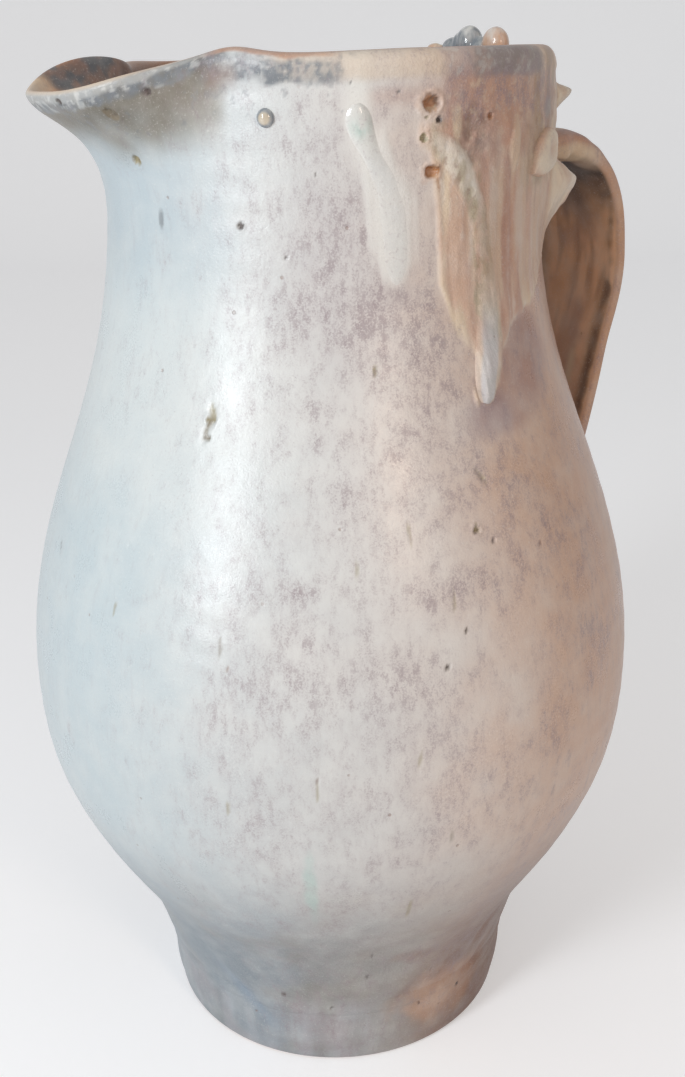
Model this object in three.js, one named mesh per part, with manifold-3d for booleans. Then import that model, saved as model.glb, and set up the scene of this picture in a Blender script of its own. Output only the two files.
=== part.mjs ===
// A stoneware jug with a pulled spout and a strap handle.
// Millimetres, +Z up. The origin is the centre of the flat underside of the foot.
// The spout points along -X and the strap handle stands on the +X side.
import * as THREE from 'three';
import { mergeVertices } from 'three/addons/utils/BufferGeometryUtils.js';
import Module from 'manifold-3d';

const wasm = await Module();
wasm.setup();

// The turned foot
const FOOT_HEIGHT = 28;
const FOOT_RADIUS = 60.2;
const FOOT_EDGE = 5;
const FOOT_EDGE_INSET = 2.7;
const WAIST_RADIUS = 60.4;
const ANKLE_INSET = 1.5;
const FLOOR_THICKNESS = 9;
const FLOOR_CORNER = 12;

// The thrown wall
const BELLY_HEIGHT = 132;
const BELLY_RADIUS = 99.2;
const NECK_HEIGHT = 283;
const NECK_RADIUS = 65;
const RIM_HEIGHT = 321.5;
const RIM_RADIUS = 66.2;
const WALL = 8;
const LIP_THICKNESS = 7.5;

// How far the lip rounds over, and how far over the handle, where it is rounder
const LIP_ROUND = 4;
const ROOT_LIP_ROUND = 7.5;

// How full the two long curves of the wall are, as shares of the height that each spans
const BELLY_FULLNESS = { lowOut: 0.84, lowUp: 0.53, high: 0.275 };
const SHOULDER_FULLNESS = { low: 0.404, high: 0.412 };

// The pulled spout and the pinches beside it. A turn is in degrees from the spout's line about the
// jug's axis, positive toward -Y.
const SPOUT_START_HEIGHT = 262;
const SPOUT_REACH = 83.7;
const SPOUT_SPREAD = { near: 32.6, far: 25.3 };
const SPOUT_SQUARENESS = 5.1;
const SPOUT_DIP = 10.2;
const SPOUT_DIP_SPREAD = 32.8;
const SPOUT_DIP_SQUARENESS = 4.2;
const NEAR_PINCH = { turn: 45, width: 7.3, depth: 0.5, rise: 1.2 };
const FAR_PINCH = { turn: -22.5, width: 10.6, depth: 6.9, rise: 7.5 };
const NEAR_SAG = { turn: 62, width: 17, depth: 0.8 };
const FAR_SAG = { turn: -65, width: 58, depth: 3.1 };

// How the wall rises to the lip: it draws in to a radius at a share of the rise, and ends at a tilt
const PLAIN_NECK = { inRadius: 64.1, inShare: 0.5, endShare: 0.38, tilt: 4 };
const SPOUT_NECK = { inRadius: 60.6, inShare: 0.83, endShare: 0.2, tilt: 46 };

// The swelling of the neck where the handle is luted on. It is full and fades at shares of the way
// from the spout's start to the rim.
const ROOT_SWELL = { turn: 170, width: 35, rise: 4.8, full: 0.47, fade: 0.78, end: 1.04 };

// The strap handle, whose middle line is a list of [distance out from the wall, drop below the rim]
const HANDLE_TURN = -175;
const STRAP_LINE = [[-4, 31], [15, 25.5], [29.5, 37.5], [35.3, 66], [20.5, 97], [5, 122], [-8, 140]];
const STRAP_WIDTH = 44;
const STRAP_THICKNESS = 7;
const STRAP_ROOT = { thickness: 15, share: 0.3 };
const STRAP_FOOT = { width: 48, share: 0.25 };

// Small horns of clay on the swelling beside the handle's root, taller than they are wide
const UPPER_SPUR = { turn: 153, drop: 15.2, length: 5.2, baseRadius: 3.8, tall: 1.5, lean: 28 };
const LOWER_SPUR = { turn: 152, drop: 38.5, length: 8.4, baseRadius: 8, tall: 1.3, lean: 2 };
const SPUR_DEPTH = 4;

// Lumps on the lip over the handle
const LEFT_PELLET = { turn: -164.5, length: 12, width: 8.4, rise: 6.8 };
const RIGHT_PELLET = { turn: -176, length: 10.4, width: 8, rise: 6 };
const RIM_NUB = { turn: -151.5, length: 5, width: 5, rise: 2.2 };
const PELLET_LIFT = 1;

// Ridges that lie on the wall. Each route is a list of [turn, drop below the rim, half width, rise],
// and its ends are rounded over a share of its length.
const THUMB_REST = {
  ends: 0.3,
  route: [[142, 21, 4, 3], [138, 22, 6.3, 4.8], [131, 26, 6.3, 4.8], [125.5, 31.5, 4, 3]],
};
const CREAM_RUN = {
  ends: 0.04,
  route: [
    [87, 20, 3, 1.6], [94, 26.5, 3.6, 2.6], [99.5, 37, 3.4, 2.4], [104, 50, 3.4, 2],
    [105, 64, 3.7, 1.8], [104.5, 78, 3.8, 2], [102, 90.5, 3.6, 2.2],
  ],
};
const WHITE_RUN = {
  ends: 0.08,
  route: [
    [73.8, 12.5, 4.6, 2.2], [75.2, 18, 4.2, 1.8], [77.6, 27, 3.4, 1], [80, 41, 4, 0.9], [81.6, 56, 2.6, 0.7],
  ],
};
const GLASS_BEAD = {
  ends: 0.5,
  route: [[53.3, 13.5, 2.1, 1.6], [53.3, 15.5, 2.1, 1.6], [53.3, 17.5, 2.1, 1.6]],
};

// Clearance between a piece and the wall that it is luted to
const LUTING_GAP = 0.3;

// Roundness of the meshes
const WALL_SIDES = 64;
const WALL_STEPS = 8;
const FOOT_STEPS = 3;
const CUTTER_STEPS = 36;
const LIP_STEPS = 6;
const STRAP_STEPS = 24;
const STRAP_SIDES = 14;
const RIDGE_STEPS = 3;
const RIDGE_SIDES = 6;
const SPUR_SIDES = 14;
const SPUR_STEPS = 7;
const PELLET_SIDES = 16;
const PELLET_ROWS = 10;

const GLAZE_PALE = { color: 0xcfc9c4, roughness: 0.42, metalness: 0 };
const GLAZE_FOOT = { color: 0xb9b0b4, roughness: 0.45, metalness: 0 };
const GLAZE_RIM = { color: 0xb7aeac, roughness: 0.42, metalness: 0 };
const GLAZE_STRAP = { color: 0xb09a8c, roughness: 0.5, metalness: 0 };
const GLAZE_LUMP = { color: 0xd6cbbd, roughness: 0.35, metalness: 0 };
const GLASS_GREY = { color: 0x8f979c, roughness: 0.12, metalness: 0 };
const GLASS_CREAM = { color: 0xd9cfb4, roughness: 0.2, metalness: 0 };
const GLASS_WHITE = { color: 0xe3e0da, roughness: 0.25, metalness: 0 };

const jug = new THREE.Group();

function piece(name, geometry, look) {
  geometry.computeVertexNormals();
  const mesh = new THREE.Mesh(geometry, new THREE.MeshStandardMaterial(look));
  mesh.name = name;
  jug.add(mesh);
}

function lerp(a, b, share) {
  return a + (b - a) * share;
}

// Curves of the outer wall, in [radius, height]

function bellyCurve() {
  return new THREE.CubicBezierCurve(
    new THREE.Vector2(WAIST_RADIUS, FOOT_HEIGHT),
    new THREE.Vector2(
      lerp(WAIST_RADIUS, BELLY_RADIUS, BELLY_FULLNESS.lowOut),
      lerp(FOOT_HEIGHT, BELLY_HEIGHT, BELLY_FULLNESS.lowUp)),
    new THREE.Vector2(BELLY_RADIUS, lerp(BELLY_HEIGHT, FOOT_HEIGHT, BELLY_FULLNESS.high)),
    new THREE.Vector2(BELLY_RADIUS, BELLY_HEIGHT));
}

function shoulderCurve() {
  return new THREE.CubicBezierCurve(
    new THREE.Vector2(BELLY_RADIUS, BELLY_HEIGHT),
    new THREE.Vector2(BELLY_RADIUS, lerp(BELLY_HEIGHT, NECK_HEIGHT, SHOULDER_FULLNESS.low)),
    new THREE.Vector2(NECK_RADIUS, lerp(NECK_HEIGHT, BELLY_HEIGHT, SHOULDER_FULLNESS.high)),
    new THREE.Vector2(NECK_RADIUS, NECK_HEIGHT));
}

// The share along a rising curve at which it reaches a height
function shareAtHeight(curve, height) {
  let low = 0;
  let high = 1;
  for (let step = 0; step < 40; step += 1) {
    const middle = (low + high) / 2;
    if (curve.getPoint(middle).y < height) {
      low = middle;
    } else {
      high = middle;
    }
  }
  return (low + high) / 2;
}

function curvePoints(curve, from, to, count) {
  const points = [];
  for (let step = 0; step <= count; step += 1) {
    points.push(curve.getPoint(lerp(from, to, step / count)));
  }
  return points;
}

function movedInward(points, distance) {
  return points.map((point) => new THREE.Vector2(point.x - distance, point.y)).reverse();
}

function turned(profile) {
  return new THREE.LatheGeometry(profile, WALL_SIDES).rotateX(Math.PI / 2);
}

// The rim: how far each part of it leans out, and how high it stands

function apart(turn, other) {
  return THREE.MathUtils.euclideanModulo(turn - other + 180, 360) - 180;
}

function bump(turn, { turn: centre, width }) {
  return Math.exp(-((apart(turn, centre) / width) ** 2));
}

function lobe(turn, spread, squareness) {
  return Math.exp(-((Math.abs(turn) / spread) ** squareness));
}

function spoutShare(turn) {
  return lobe(turn, turn > 0 ? SPOUT_SPREAD.near : SPOUT_SPREAD.far, SPOUT_SQUARENESS);
}

function rimRadius(turn) {
  const pinches = NEAR_PINCH.depth * bump(turn, NEAR_PINCH) + FAR_PINCH.depth * bump(turn, FAR_PINCH);
  return lerp(RIM_RADIUS, SPOUT_REACH, spoutShare(turn)) - pinches;
}

function rimHeight(turn) {
  const dip = SPOUT_DIP * lobe(turn, SPOUT_DIP_SPREAD, SPOUT_DIP_SQUARENESS);
  const rises = NEAR_PINCH.rise * bump(turn, NEAR_PINCH) + FAR_PINCH.rise * bump(turn, FAR_PINCH);
  const sags = NEAR_SAG.depth * bump(turn, NEAR_SAG) + FAR_SAG.depth * bump(turn, FAR_SAG);
  return RIM_HEIGHT - dip + rises - sags;
}

function rootSwell(turn, height) {
  const { rise, full, fade, end } = ROOT_SWELL;
  const share = (height - SPOUT_START_HEIGHT) / (RIM_HEIGHT - SPOUT_START_HEIGHT);
  const upTo = THREE.MathUtils.smoothstep(share, 0, full);
  const downFrom = 1 - THREE.MathUtils.smoothstep(share, fade, end);
  return rise * bump(turn, ROOT_SWELL) * upTo * downFrom;
}

function lipRound(turn) {
  return lerp(LIP_ROUND, ROOT_LIP_ROUND, bump(turn, ROOT_SWELL));
}

// The outer wall from the spout's start to just under the lip, at a turn in degrees
function rimWallCurve(turn) {
  const shoulder = shoulderCurve();
  const start = shoulder.getPoint(shareAtHeight(shoulder, SPOUT_START_HEIGHT));
  const share = spoutShare(turn);
  const tilt = THREE.MathUtils.degToRad(lerp(PLAIN_NECK.tilt, SPOUT_NECK.tilt, share));
  const end = new THREE.Vector2(rimRadius(turn), rimHeight(turn) - lipRound(turn) * Math.cos(tilt));
  const rise = end.y - start.y;
  const reach = rise * lerp(PLAIN_NECK.endShare, SPOUT_NECK.endShare, share);
  return new THREE.CubicBezierCurve(
    start,
    new THREE.Vector2(
      lerp(PLAIN_NECK.inRadius, SPOUT_NECK.inRadius, share),
      start.y + rise * lerp(PLAIN_NECK.inShare, SPOUT_NECK.inShare, share)),
    new THREE.Vector2(end.x - Math.sin(tilt) * reach, end.y - Math.cos(tilt) * reach),
    end);
}

function wallCurveAt(height) {
  if (height < BELLY_HEIGHT) {
    return bellyCurve();
  }
  return height < SPOUT_START_HEIGHT ? shoulderCurve() : rimWallCurve(180);
}

function wallRadius(height) {
  const curve = wallCurveAt(height);
  return curve.getPoint(shareAtHeight(curve, height)).x;
}

// A point at a turn in degrees, a radius and a height
function around(turn, radius, height) {
  const angle = THREE.MathUtils.degToRad(turn);
  return new THREE.Vector3(-radius * Math.cos(angle), -radius * Math.sin(angle), height);
}

// A point on the wall away from the spout, raised off it
function wallPoint(turn, height, rise) {
  return around(turn, wallRadius(height) + rootSwell(turn, height) + rise, height);
}

// Skins a list of rings into one closed body; looped rings join up, others get flat ends
function skin(rings, looped) {
  const count = rings[0].length;
  const corners = rings.flat();
  const faces = [];
  const last = looped ? rings.length : rings.length - 1;
  for (let ring = 0; ring < last; ring += 1) {
    for (let side = 0; side < count; side += 1) {
      const a = ring * count + side;
      const b = ring * count + ((side + 1) % count);
      const c = ((ring + 1) % rings.length) * count + ((side + 1) % count);
      const d = ((ring + 1) % rings.length) * count + side;
      faces.push(a, b, c, a, c, d);
    }
  }
  if (!looped) {
    const end = (rings.length - 1) * count;
    for (let side = 1; side < count - 1; side += 1) {
      faces.push(0, side + 1, side);
      faces.push(end, end + side, end + side + 1);
    }
  }
  const geometry = new THREE.BufferGeometry().setFromPoints(corners);
  geometry.setIndex(volume(corners, faces) < 0 ? faces.reverse() : faces);
  return geometry;
}

function volume(corners, faces) {
  let sum = 0;
  const cross = new THREE.Vector3();
  for (let at = 0; at < faces.length; at += 3) {
    cross.crossVectors(corners[faces[at + 1]], corners[faces[at + 2]]);
    sum += corners[faces[at]].dot(cross);
  }
  return sum / 6;
}

// Cuts

function toSolid(geometry) {
  const bare = geometry.clone();
  bare.deleteAttribute('normal');
  bare.deleteAttribute('uv');
  const merged = mergeVertices(bare, 1e-4);
  return new wasm.Manifold(new wasm.Mesh({
    numProp: 3,
    vertProperties: new Float32Array(merged.attributes.position.array),
    triVerts: new Uint32Array(merged.index.array),
  }));
}

function toGeometry(solid) {
  const mesh = solid.getMesh();
  const geometry = new THREE.BufferGeometry();
  geometry.setAttribute('position', new THREE.BufferAttribute(mesh.vertProperties, 3));
  geometry.setIndex(new THREE.BufferAttribute(mesh.triVerts, 1));
  return geometry;
}

function cut(geometry, tool) {
  return toGeometry(toSolid(geometry).subtract(toSolid(tool)));
}

// The wall without its spout or hollow, grown by the luting gap, for cutting what is luted to it
function wallCutter() {
  const top = RIM_HEIGHT - 2 * LIP_ROUND;
  const rings = [];
  for (let step = 0; step <= CUTTER_STEPS; step += 1) {
    const height = lerp(BELLY_HEIGHT, top, step / CUTTER_STEPS);
    const ring = [];
    for (let side = 0; side < WALL_SIDES; side += 1) {
      ring.push(wallPoint((side / WALL_SIDES) * 360, height, LUTING_GAP));
    }
    rings.push(ring);
  }
  return skin(rings, false);
}

// Thrown pieces

// The foot rolls in at its lower edge, stands nearly straight and is pinched in at the ankle
function turnedFoot() {
  const ankleRadius = WAIST_RADIUS - ANKLE_INSET;
  const ankleHeight = FOOT_HEIGHT * 0.75;
  const wellRadius = FOOT_RADIUS - WALL - 1;
  const outer = new THREE.Path()
    .moveTo(0, 0)
    .lineTo(FOOT_RADIUS - FOOT_EDGE_INSET, 0)
    .quadraticCurveTo(FOOT_RADIUS, 0, FOOT_RADIUS, FOOT_EDGE)
    .quadraticCurveTo(FOOT_RADIUS, lerp(FOOT_EDGE, ankleHeight, 0.6), ankleRadius, ankleHeight)
    .quadraticCurveTo(ankleRadius, lerp(ankleHeight, FOOT_HEIGHT, 0.6), WAIST_RADIUS, FOOT_HEIGHT);
  const inner = new THREE.Path()
    .moveTo(WAIST_RADIUS - WALL, FOOT_HEIGHT)
    .lineTo(wellRadius, FLOOR_THICKNESS + FLOOR_CORNER)
    .quadraticCurveTo(wellRadius, FLOOR_THICKNESS, wellRadius - FLOOR_CORNER, FLOOR_THICKNESS)
    .lineTo(0, FLOOR_THICKNESS);
  return turned([...outer.getPoints(FOOT_STEPS), ...inner.getPoints(FOOT_STEPS)]);
}

function lowerBody() {
  const outer = curvePoints(bellyCurve(), 0, 1, WALL_STEPS);
  return turned([...outer, ...movedInward(outer, WALL), outer[0]]);
}

function upperBody() {
  const curve = shoulderCurve();
  const outer = curvePoints(curve, 0, shareAtHeight(curve, SPOUT_START_HEIGHT), WALL_STEPS);
  return turned([...outer, ...movedInward(outer, WALL), outer[0]]);
}

// A sine or cosine made squarer, as the section of a lip or a strap is
function squared(value, power) {
  return Math.sign(value) * Math.abs(value) ** power;
}

// One closed section of the rim, from the outer foot of the spout over the lip and down inside
function rimSection(turn, grown) {
  const curve = rimWallCurve(turn);
  const outer = [];
  const inner = [];
  for (let step = 0; step <= WALL_STEPS; step += 1) {
    const share = step / WALL_STEPS;
    const point = curve.getPoint(share);
    const along = curve.getTangent(share);
    const out = step === 0 ? new THREE.Vector2(1, 0) : new THREE.Vector2(along.y, -along.x);
    outer.push(point.clone().addScaledVector(out, grown + rootSwell(turn, point.y)));
    inner.push(point.clone().addScaledVector(out, -lerp(WALL, LIP_THICKNESS, share)));
  }
  const up = curve.getTangent(1);
  const middle = outer[WALL_STEPS].clone().add(inner[WALL_STEPS]).multiplyScalar(0.5);
  const half = outer[WALL_STEPS].clone().sub(middle);
  const rounder = bump(turn, ROOT_SWELL);
  const lip = [];
  for (let step = 1; step < LIP_STEPS; step += 1) {
    const angle = (step / LIP_STEPS) * Math.PI;
    lip.push(middle.clone()
      .addScaledVector(half, squared(Math.cos(angle), lerp(0.7, 1, rounder)))
      .addScaledVector(up, (lipRound(turn) + grown) * squared(Math.sin(angle), lerp(0.8, 1, rounder))));
  }
  return [...outer, ...lip, ...inner.reverse()];
}

function rimBody(grown) {
  const rings = [];
  for (let side = 0; side < WALL_SIDES; side += 1) {
    const turn = (side / WALL_SIDES) * 360 - 180;
    rings.push(rimSection(turn, grown).map((point) => around(turn, point.x, point.y)));
  }
  return skin(rings, true);
}

// The strap handle, swept along its middle line and then cut where it meets the wall

function strapHalfThickness(share) {
  const root = Math.max(0, 1 - share / STRAP_ROOT.share);
  return lerp(STRAP_THICKNESS, STRAP_ROOT.thickness, root * root) / 2;
}

function strapHalfWidth(share) {
  const foot = Math.max(0, 1 - (1 - share) / STRAP_FOOT.share);
  return lerp(STRAP_WIDTH, STRAP_FOOT.width, foot * foot) / 2;
}

function strap() {
  const line = new THREE.CatmullRomCurve3(STRAP_LINE.map(([out, drop]) => {
    const height = RIM_HEIGHT - drop;
    return new THREE.Vector3(wallRadius(height) + out, 0, height);
  }), false, 'centripetal');
  const wide = new THREE.Vector3(0, 1, 0);
  const rings = [];
  for (let step = 0; step <= STRAP_STEPS; step += 1) {
    const share = step / STRAP_STEPS;
    const centre = line.getPointAt(share);
    const out = new THREE.Vector3().crossVectors(line.getTangentAt(share), wide);
    const ring = [];
    for (let side = 0; side < STRAP_SIDES; side += 1) {
      const angle = (side / STRAP_SIDES) * 2 * Math.PI;
      ring.push(centre.clone()
        .addScaledVector(wide, strapHalfWidth(share) * squared(Math.cos(angle), 0.75))
        .addScaledVector(out, strapHalfThickness(share) * squared(Math.sin(angle), 0.6)));
    }
    rings.push(ring);
  }
  return skin(rings, false).rotateZ(THREE.MathUtils.degToRad(HANDLE_TURN + 180));
}

// A soft ridge that lies on the wall along its route
function ridge({ route, ends }) {
  const line = new THREE.CatmullRomCurve3(
    route.map(([turn, drop]) => new THREE.Vector3(turn, RIM_HEIGHT - drop, 0)), false, 'centripetal');
  const sizes = new THREE.CatmullRomCurve3(
    route.map(([, , halfWidth, rise], index) => new THREE.Vector3(index, halfWidth, rise)));
  const steps = RIDGE_STEPS * (route.length - 1);
  const rings = [];
  for (let step = 0; step <= steps; step += 1) {
    const share = lerp(0.01, 0.99, step / steps);
    const fromEnd = Math.min(1, Math.min(share, 1 - share) / ends);
    const rounding = Math.sqrt(1 - (1 - fromEnd) ** 2);
    const size = sizes.getPoint(share).multiplyScalar(rounding);
    rings.push(ridgeRing(line.getPoint(share), line.getTangent(share), size.y, size.z));
  }
  return skin(rings, false);
}

// One section of a ridge: a low arch over a base that follows the wall
function ridgeRing(centre, ahead, halfWidth, rise) {
  const degree = THREE.MathUtils.degToRad(1) * wallRadius(centre.y);
  const along = new THREE.Vector2(ahead.x * degree, ahead.y).normalize();
  const at = (angle, lift) => {
    const across = -Math.cos(angle) * halfWidth;
    return wallPoint(centre.x + (along.y * across) / degree, centre.y - along.x * across, LUTING_GAP + lift);
  };
  const ring = [];
  for (let side = 0; side <= RIDGE_SIDES; side += 1) {
    const angle = (side / RIDGE_SIDES) * Math.PI;
    ring.push(at(angle, rise * Math.sin(angle)));
  }
  for (let side = RIDGE_SIDES - 1; side > 0; side -= 1) {
    ring.push(at((side / RIDGE_SIDES) * Math.PI, 0));
  }
  return ring;
}

// A small horn of clay that points out from the wall and leans up by some degrees
function spur({ turn, drop, length, baseRadius, tall, lean }) {
  const horn = new THREE.SplineCurve([
    new THREE.Vector2(baseRadius * 1.25, -2.5),
    new THREE.Vector2(baseRadius * 0.85, length * 0.22),
    new THREE.Vector2(baseRadius * 0.45, length * 0.65),
    new THREE.Vector2(baseRadius * 0.22, length * 0.92),
    new THREE.Vector2(0, length),
  ]).getPoints(SPUR_STEPS);
  const outline = [new THREE.Vector2(0, -SPUR_DEPTH), new THREE.Vector2(baseRadius * 1.25, -SPUR_DEPTH), ...horn];
  const foot = wallPoint(turn, RIM_HEIGHT - drop, 0);
  return new THREE.LatheGeometry(outline, SPUR_SIDES)
    .rotateZ(-Math.PI / 2)
    .scale(1, 1, tall)
    .rotateY(-THREE.MathUtils.degToRad(lean))
    .rotateZ(THREE.MathUtils.degToRad(turn + 180))
    .translate(foot.x, foot.y, foot.z);
}

// A rounded lump on the lip, cut so that it wraps over it; its length runs along the rim
function pellet({ turn, length, width, rise }) {
  const place = around(turn, rimRadius(turn) - LIP_THICKNESS / 2, rimHeight(turn) + PELLET_LIFT);
  return new THREE.SphereGeometry(1, PELLET_SIDES, PELLET_ROWS)
    .rotateX(Math.PI / 2)
    .scale(width / 2, length / 2, rise - PELLET_LIFT)
    .rotateZ(THREE.MathUtils.degToRad(turn))
    .translate(place.x, place.y, place.z);
}

piece('turned_foot', turnedFoot(), GLAZE_FOOT);
piece('lower_body', lowerBody(), GLAZE_PALE);
piece('upper_body', upperBody(), GLAZE_PALE);
piece('rim_and_spout', rimBody(0), GLAZE_RIM);

const wall = wallCutter();
piece('strap_handle', cut(strap(), wall), GLAZE_STRAP);
piece('upper_spur', cut(spur(UPPER_SPUR), wall), GLAZE_LUMP);
piece('lower_spur', cut(spur(LOWER_SPUR), wall), GLAZE_LUMP);
piece('thumb_rest', ridge(THUMB_REST), GLAZE_LUMP);

const lip = rimBody(LUTING_GAP);
piece('left_rim_pellet', cut(pellet(LEFT_PELLET), lip), GLASS_GREY);
piece('right_rim_pellet', cut(pellet(RIGHT_PELLET), lip), GLAZE_LUMP);
piece('rim_nub', cut(pellet(RIM_NUB), lip), GLAZE_LUMP);

piece('cream_glaze_run', ridge(CREAM_RUN), GLASS_CREAM);
piece('white_glaze_run', ridge(WHITE_RUN), GLASS_WHITE);
piece('glass_bead', ridge(GLASS_BEAD), GLASS_GREY);

export default jug;
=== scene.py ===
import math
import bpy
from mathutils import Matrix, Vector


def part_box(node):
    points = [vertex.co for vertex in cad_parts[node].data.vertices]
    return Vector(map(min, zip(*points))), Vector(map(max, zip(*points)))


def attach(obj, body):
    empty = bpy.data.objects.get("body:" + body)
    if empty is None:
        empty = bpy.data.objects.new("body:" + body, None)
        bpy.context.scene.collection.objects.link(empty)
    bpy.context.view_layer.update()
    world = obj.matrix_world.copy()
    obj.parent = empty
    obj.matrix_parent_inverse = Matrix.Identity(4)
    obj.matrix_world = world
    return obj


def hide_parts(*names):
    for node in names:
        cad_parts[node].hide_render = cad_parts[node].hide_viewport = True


bl_info = {
    "name": "Ash-glazed Jug",
    "version": (1, 0, 0),
    "blender": (4, 5, 0),
    "location": "3D View > Sidebar > Jug",
    "description": "Dresses the packed jug in fired clay and ash glaze and sets a plain studio round it",
    "category": "Add Mesh",
}

import bmesh
import bpy
import numpy as np
from mathutils import Matrix, Vector

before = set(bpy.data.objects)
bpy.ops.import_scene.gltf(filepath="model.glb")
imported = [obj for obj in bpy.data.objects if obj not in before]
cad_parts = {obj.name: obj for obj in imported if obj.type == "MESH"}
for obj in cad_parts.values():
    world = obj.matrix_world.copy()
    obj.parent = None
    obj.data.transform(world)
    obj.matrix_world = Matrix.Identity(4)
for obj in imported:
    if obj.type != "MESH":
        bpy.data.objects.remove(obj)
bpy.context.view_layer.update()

MM = 0.001

# Fixed proportions of the thrown wall, in millimetres and degrees, as the solids have them. A turn is
# in degrees from the spout's line about the jug's axis, positive toward -Y.
WALL = 8.0
LIP_THICKNESS = 7.5
SPOUT_LIP = 3.4
LIP_ROUND = 4.0
ROOT_LIP_ROUND = 7.5
FOOT_EDGE = 5.0
FOOT_EDGE_INSET = 2.7
ANKLE_INSET = 1.5
FLOOR_THICKNESS = 9.0
FLOOR_CORNER = 12.0
UNDERSIDE_HOLLOW = 1.4
STANDING_RING = 9.0
SMALLEST_RING = 0.6
BELLY_FULLNESS = (0.84, 0.53, 0.275)
SHOULDER_FULLNESS = (0.404, 0.412)
SPOUT_START = 262.0
SPOUT_SPREAD = (32.6, 25.3)
SPOUT_SQUARENESS = 5.1
SPOUT_DIP = (10.2, 32.8, 4.2)
PINCHES = ((45, 7.3, 0.5, 1.2), (-22.5, 10.6, 6.9, 7.5))
SAGS = ((62, 17, 0.8), (-65, 58, 3.1))
PLAIN_NECK = (64.1, 0.5, 0.38, 4)
SPOUT_NECK = (60.6, 0.83, 0.2, 46)
ROOT_SWELL = {"turn": 170, "width": 35, "rise": 4.8, "full": 0.47, "fade": 0.78, "end": 1.04}
HANDLE_TURN = -175

# The strap's middle line: how far out from the neck, and how far below the rim
STRAP_LINE = ((-4, 33), (13.5, 28.8), (29.6, 38.4), (34.9, 65), (20.5, 97), (5, 122), (-8, 140))

# How the strap thickens at its root and widens at its foot, and how deep its ends are sunk in the wall
STRAP_ROOT = {"thickness": 15.0, "share": 0.3}
STRAP_FOOT = {"width": 48.0, "share": 0.25}
STRAP_SUNK = 4.5
STRAP_STEPS, STRAP_SIDES = 420, 160

# Drips on the strap's near edge: share of its length, place across it, and how far they stand out
STRAP_DRIPS = ((0.10, 0.95, 2.2), (0.155, 0.9, 1.8), (0.2, 0.82, 1.2), (0.13, 0.6, 1.4))

# Clay blended from the strap's ends onto the wall: turn, height, half width, half height, thickness,
# how steeply it falls away, and how much the folds of glaze break it
STRAP_BLENDS = ((180, 291, 34, 19, 11, 1.7, 0.12), (185, 190, 32, 14, 4.5, 1.6, 0))

# The foot and lower belly as turned and trimmed: height, and how far the surface stands off the solid
TRIM = ((0, -0.7), (4, -0.9), (10, 0.35), (17, 1.25), (21, 2.4), (24, 2.73), (28, 2.15), (31, 1.33),
        (34.5, 0.3), (38, -0.87), (42, -1.9), (46, -2.7), (54, -3.06), (64, -2.42), (76, -1.53), (88, -0.92),
        (101, -0.35), (120, -0.25), (330, -0.25))

# The sheet of glaze that ran from the handle's root: heights, and the turn of each edge there
SHEET_LEFT = ((229, 231.7, 242.8, 247, 256.7, 263, 281, 294, 300, 312),
              (102.4, 100.0, 101.0, 99.5, 97.4, 92.8, 92.2, 90.4, 87.3, 88.5))
SHEET_RIGHT = ((229, 234, 243, 251.5, 253.8, 262.5, 272, 284),
               (101.4, 107, 110.3, 117, 126.8, 137.6, 158, 172))

# The wash of white glaze under the drop, in the same way
WASH_LEFT = ((262, 270, 276, 286, 296, 306), (82.4, 77.2, 75.9, 75.7, 73.0, 70.6))
WASH_RIGHT = ((262, 270, 285, 296, 306), (82.4, 87.2, 87.6, 82.0, 77.0))

# How far the edges of both wander, in degrees
EDGE_WANDER = 3.4

# The olive strip down the sheet: heights, and the turn of each edge there
STRIP_LEVELS = (255, 275, 290, 298)
STRIP_EDGES = (103, 104, 99, 92), (109, 108, 105, 101)

# The collar's step and the groove under it: height, softness, and how far it stands out or goes in
COLLAR = (313.8, 3.2, 0.32)
COLLAR_GROOVE = (312.4, 2.2, 0.2)

# A low fold beside the thumb rest, and the bare rough patch left of it: turn, height, half width and
# half height
FOLD = (117.5, 297, 2.6, 6.8)
PITTED = (102.8, 300.5, 4.6, 7.0)

# First and last turn of the spout's ash and painted shadow, its two bands of dark ash, the dry lip beside it
# (bare clay with a painted warm reflection), the warm ground at the handle's side, and the strap's root
SPOUT_ASH = (-34, 41)
SPOUT_BAND = (-32, 43)
RIM_BAND = (42, 68)
DRY_LIP = (43, 66)
WARM_GROUND = (97, 134)
ROOT = (131, 172)

# Where the spout's ash and painted shadow and the bands end below the lip, measured over the wall
ASH_END, BAND_END, RIM_BAND_END = 27, 4.6, 8.4

# How finely the wall is thrown: turns to go through, and the step in degrees between each pair
TURN_STEPS = ((-28, 158, 0.38), (158, 206, 0.8), (206, 332, 1.3))

# How many rows each stretch of the wall takes, from the middle of the underside over the lip and down
# to the floor inside; a stretch starts on the last row of the one before
ROWS = {"underside": 12, "hollow": 7, "standing_ring": 6, "foot_edge": 10, "foot": 22, "ankle": 10,
        "belly": 100, "shoulder": 104, "neck": 84, "lip": 24, "inner_neck": 38, "inner_shoulder": 36,
        "inner_belly": 32, "well": 5, "floor_corner": 9, "floor": 15}

# The table of the wall's outer radius: its lowest and highest level, its step, and how many rows under
# the middle of the lip it stops
LEVELS = (2.0, 319.0, 0.5)
ROWS_UNDER_LIP = 8

# The camera: its place in metres, where it looks in degrees (from +Y, down, roll), and its lens in mm
CAMERA_PLACE = (-0.1610, -0.3555, 0.3227)
CAMERA_LOOK = (25, 21.58, -0.88)
CAMERA_LENS = 41.75

# The floor of the studio, in metres: half its width, its front edge, where it curves up, the curve's
# radius and steps, and the height that it goes up to
FLOOR = {"half_width": 3.0, "front": -2.5, "curve_at": 1.6, "curve": 0.5, "steps": 24, "top": 2.2}

# How bright the floor is to the eye and in reflections, over its lit colour
PAPER_GLOW = 0.34

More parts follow.
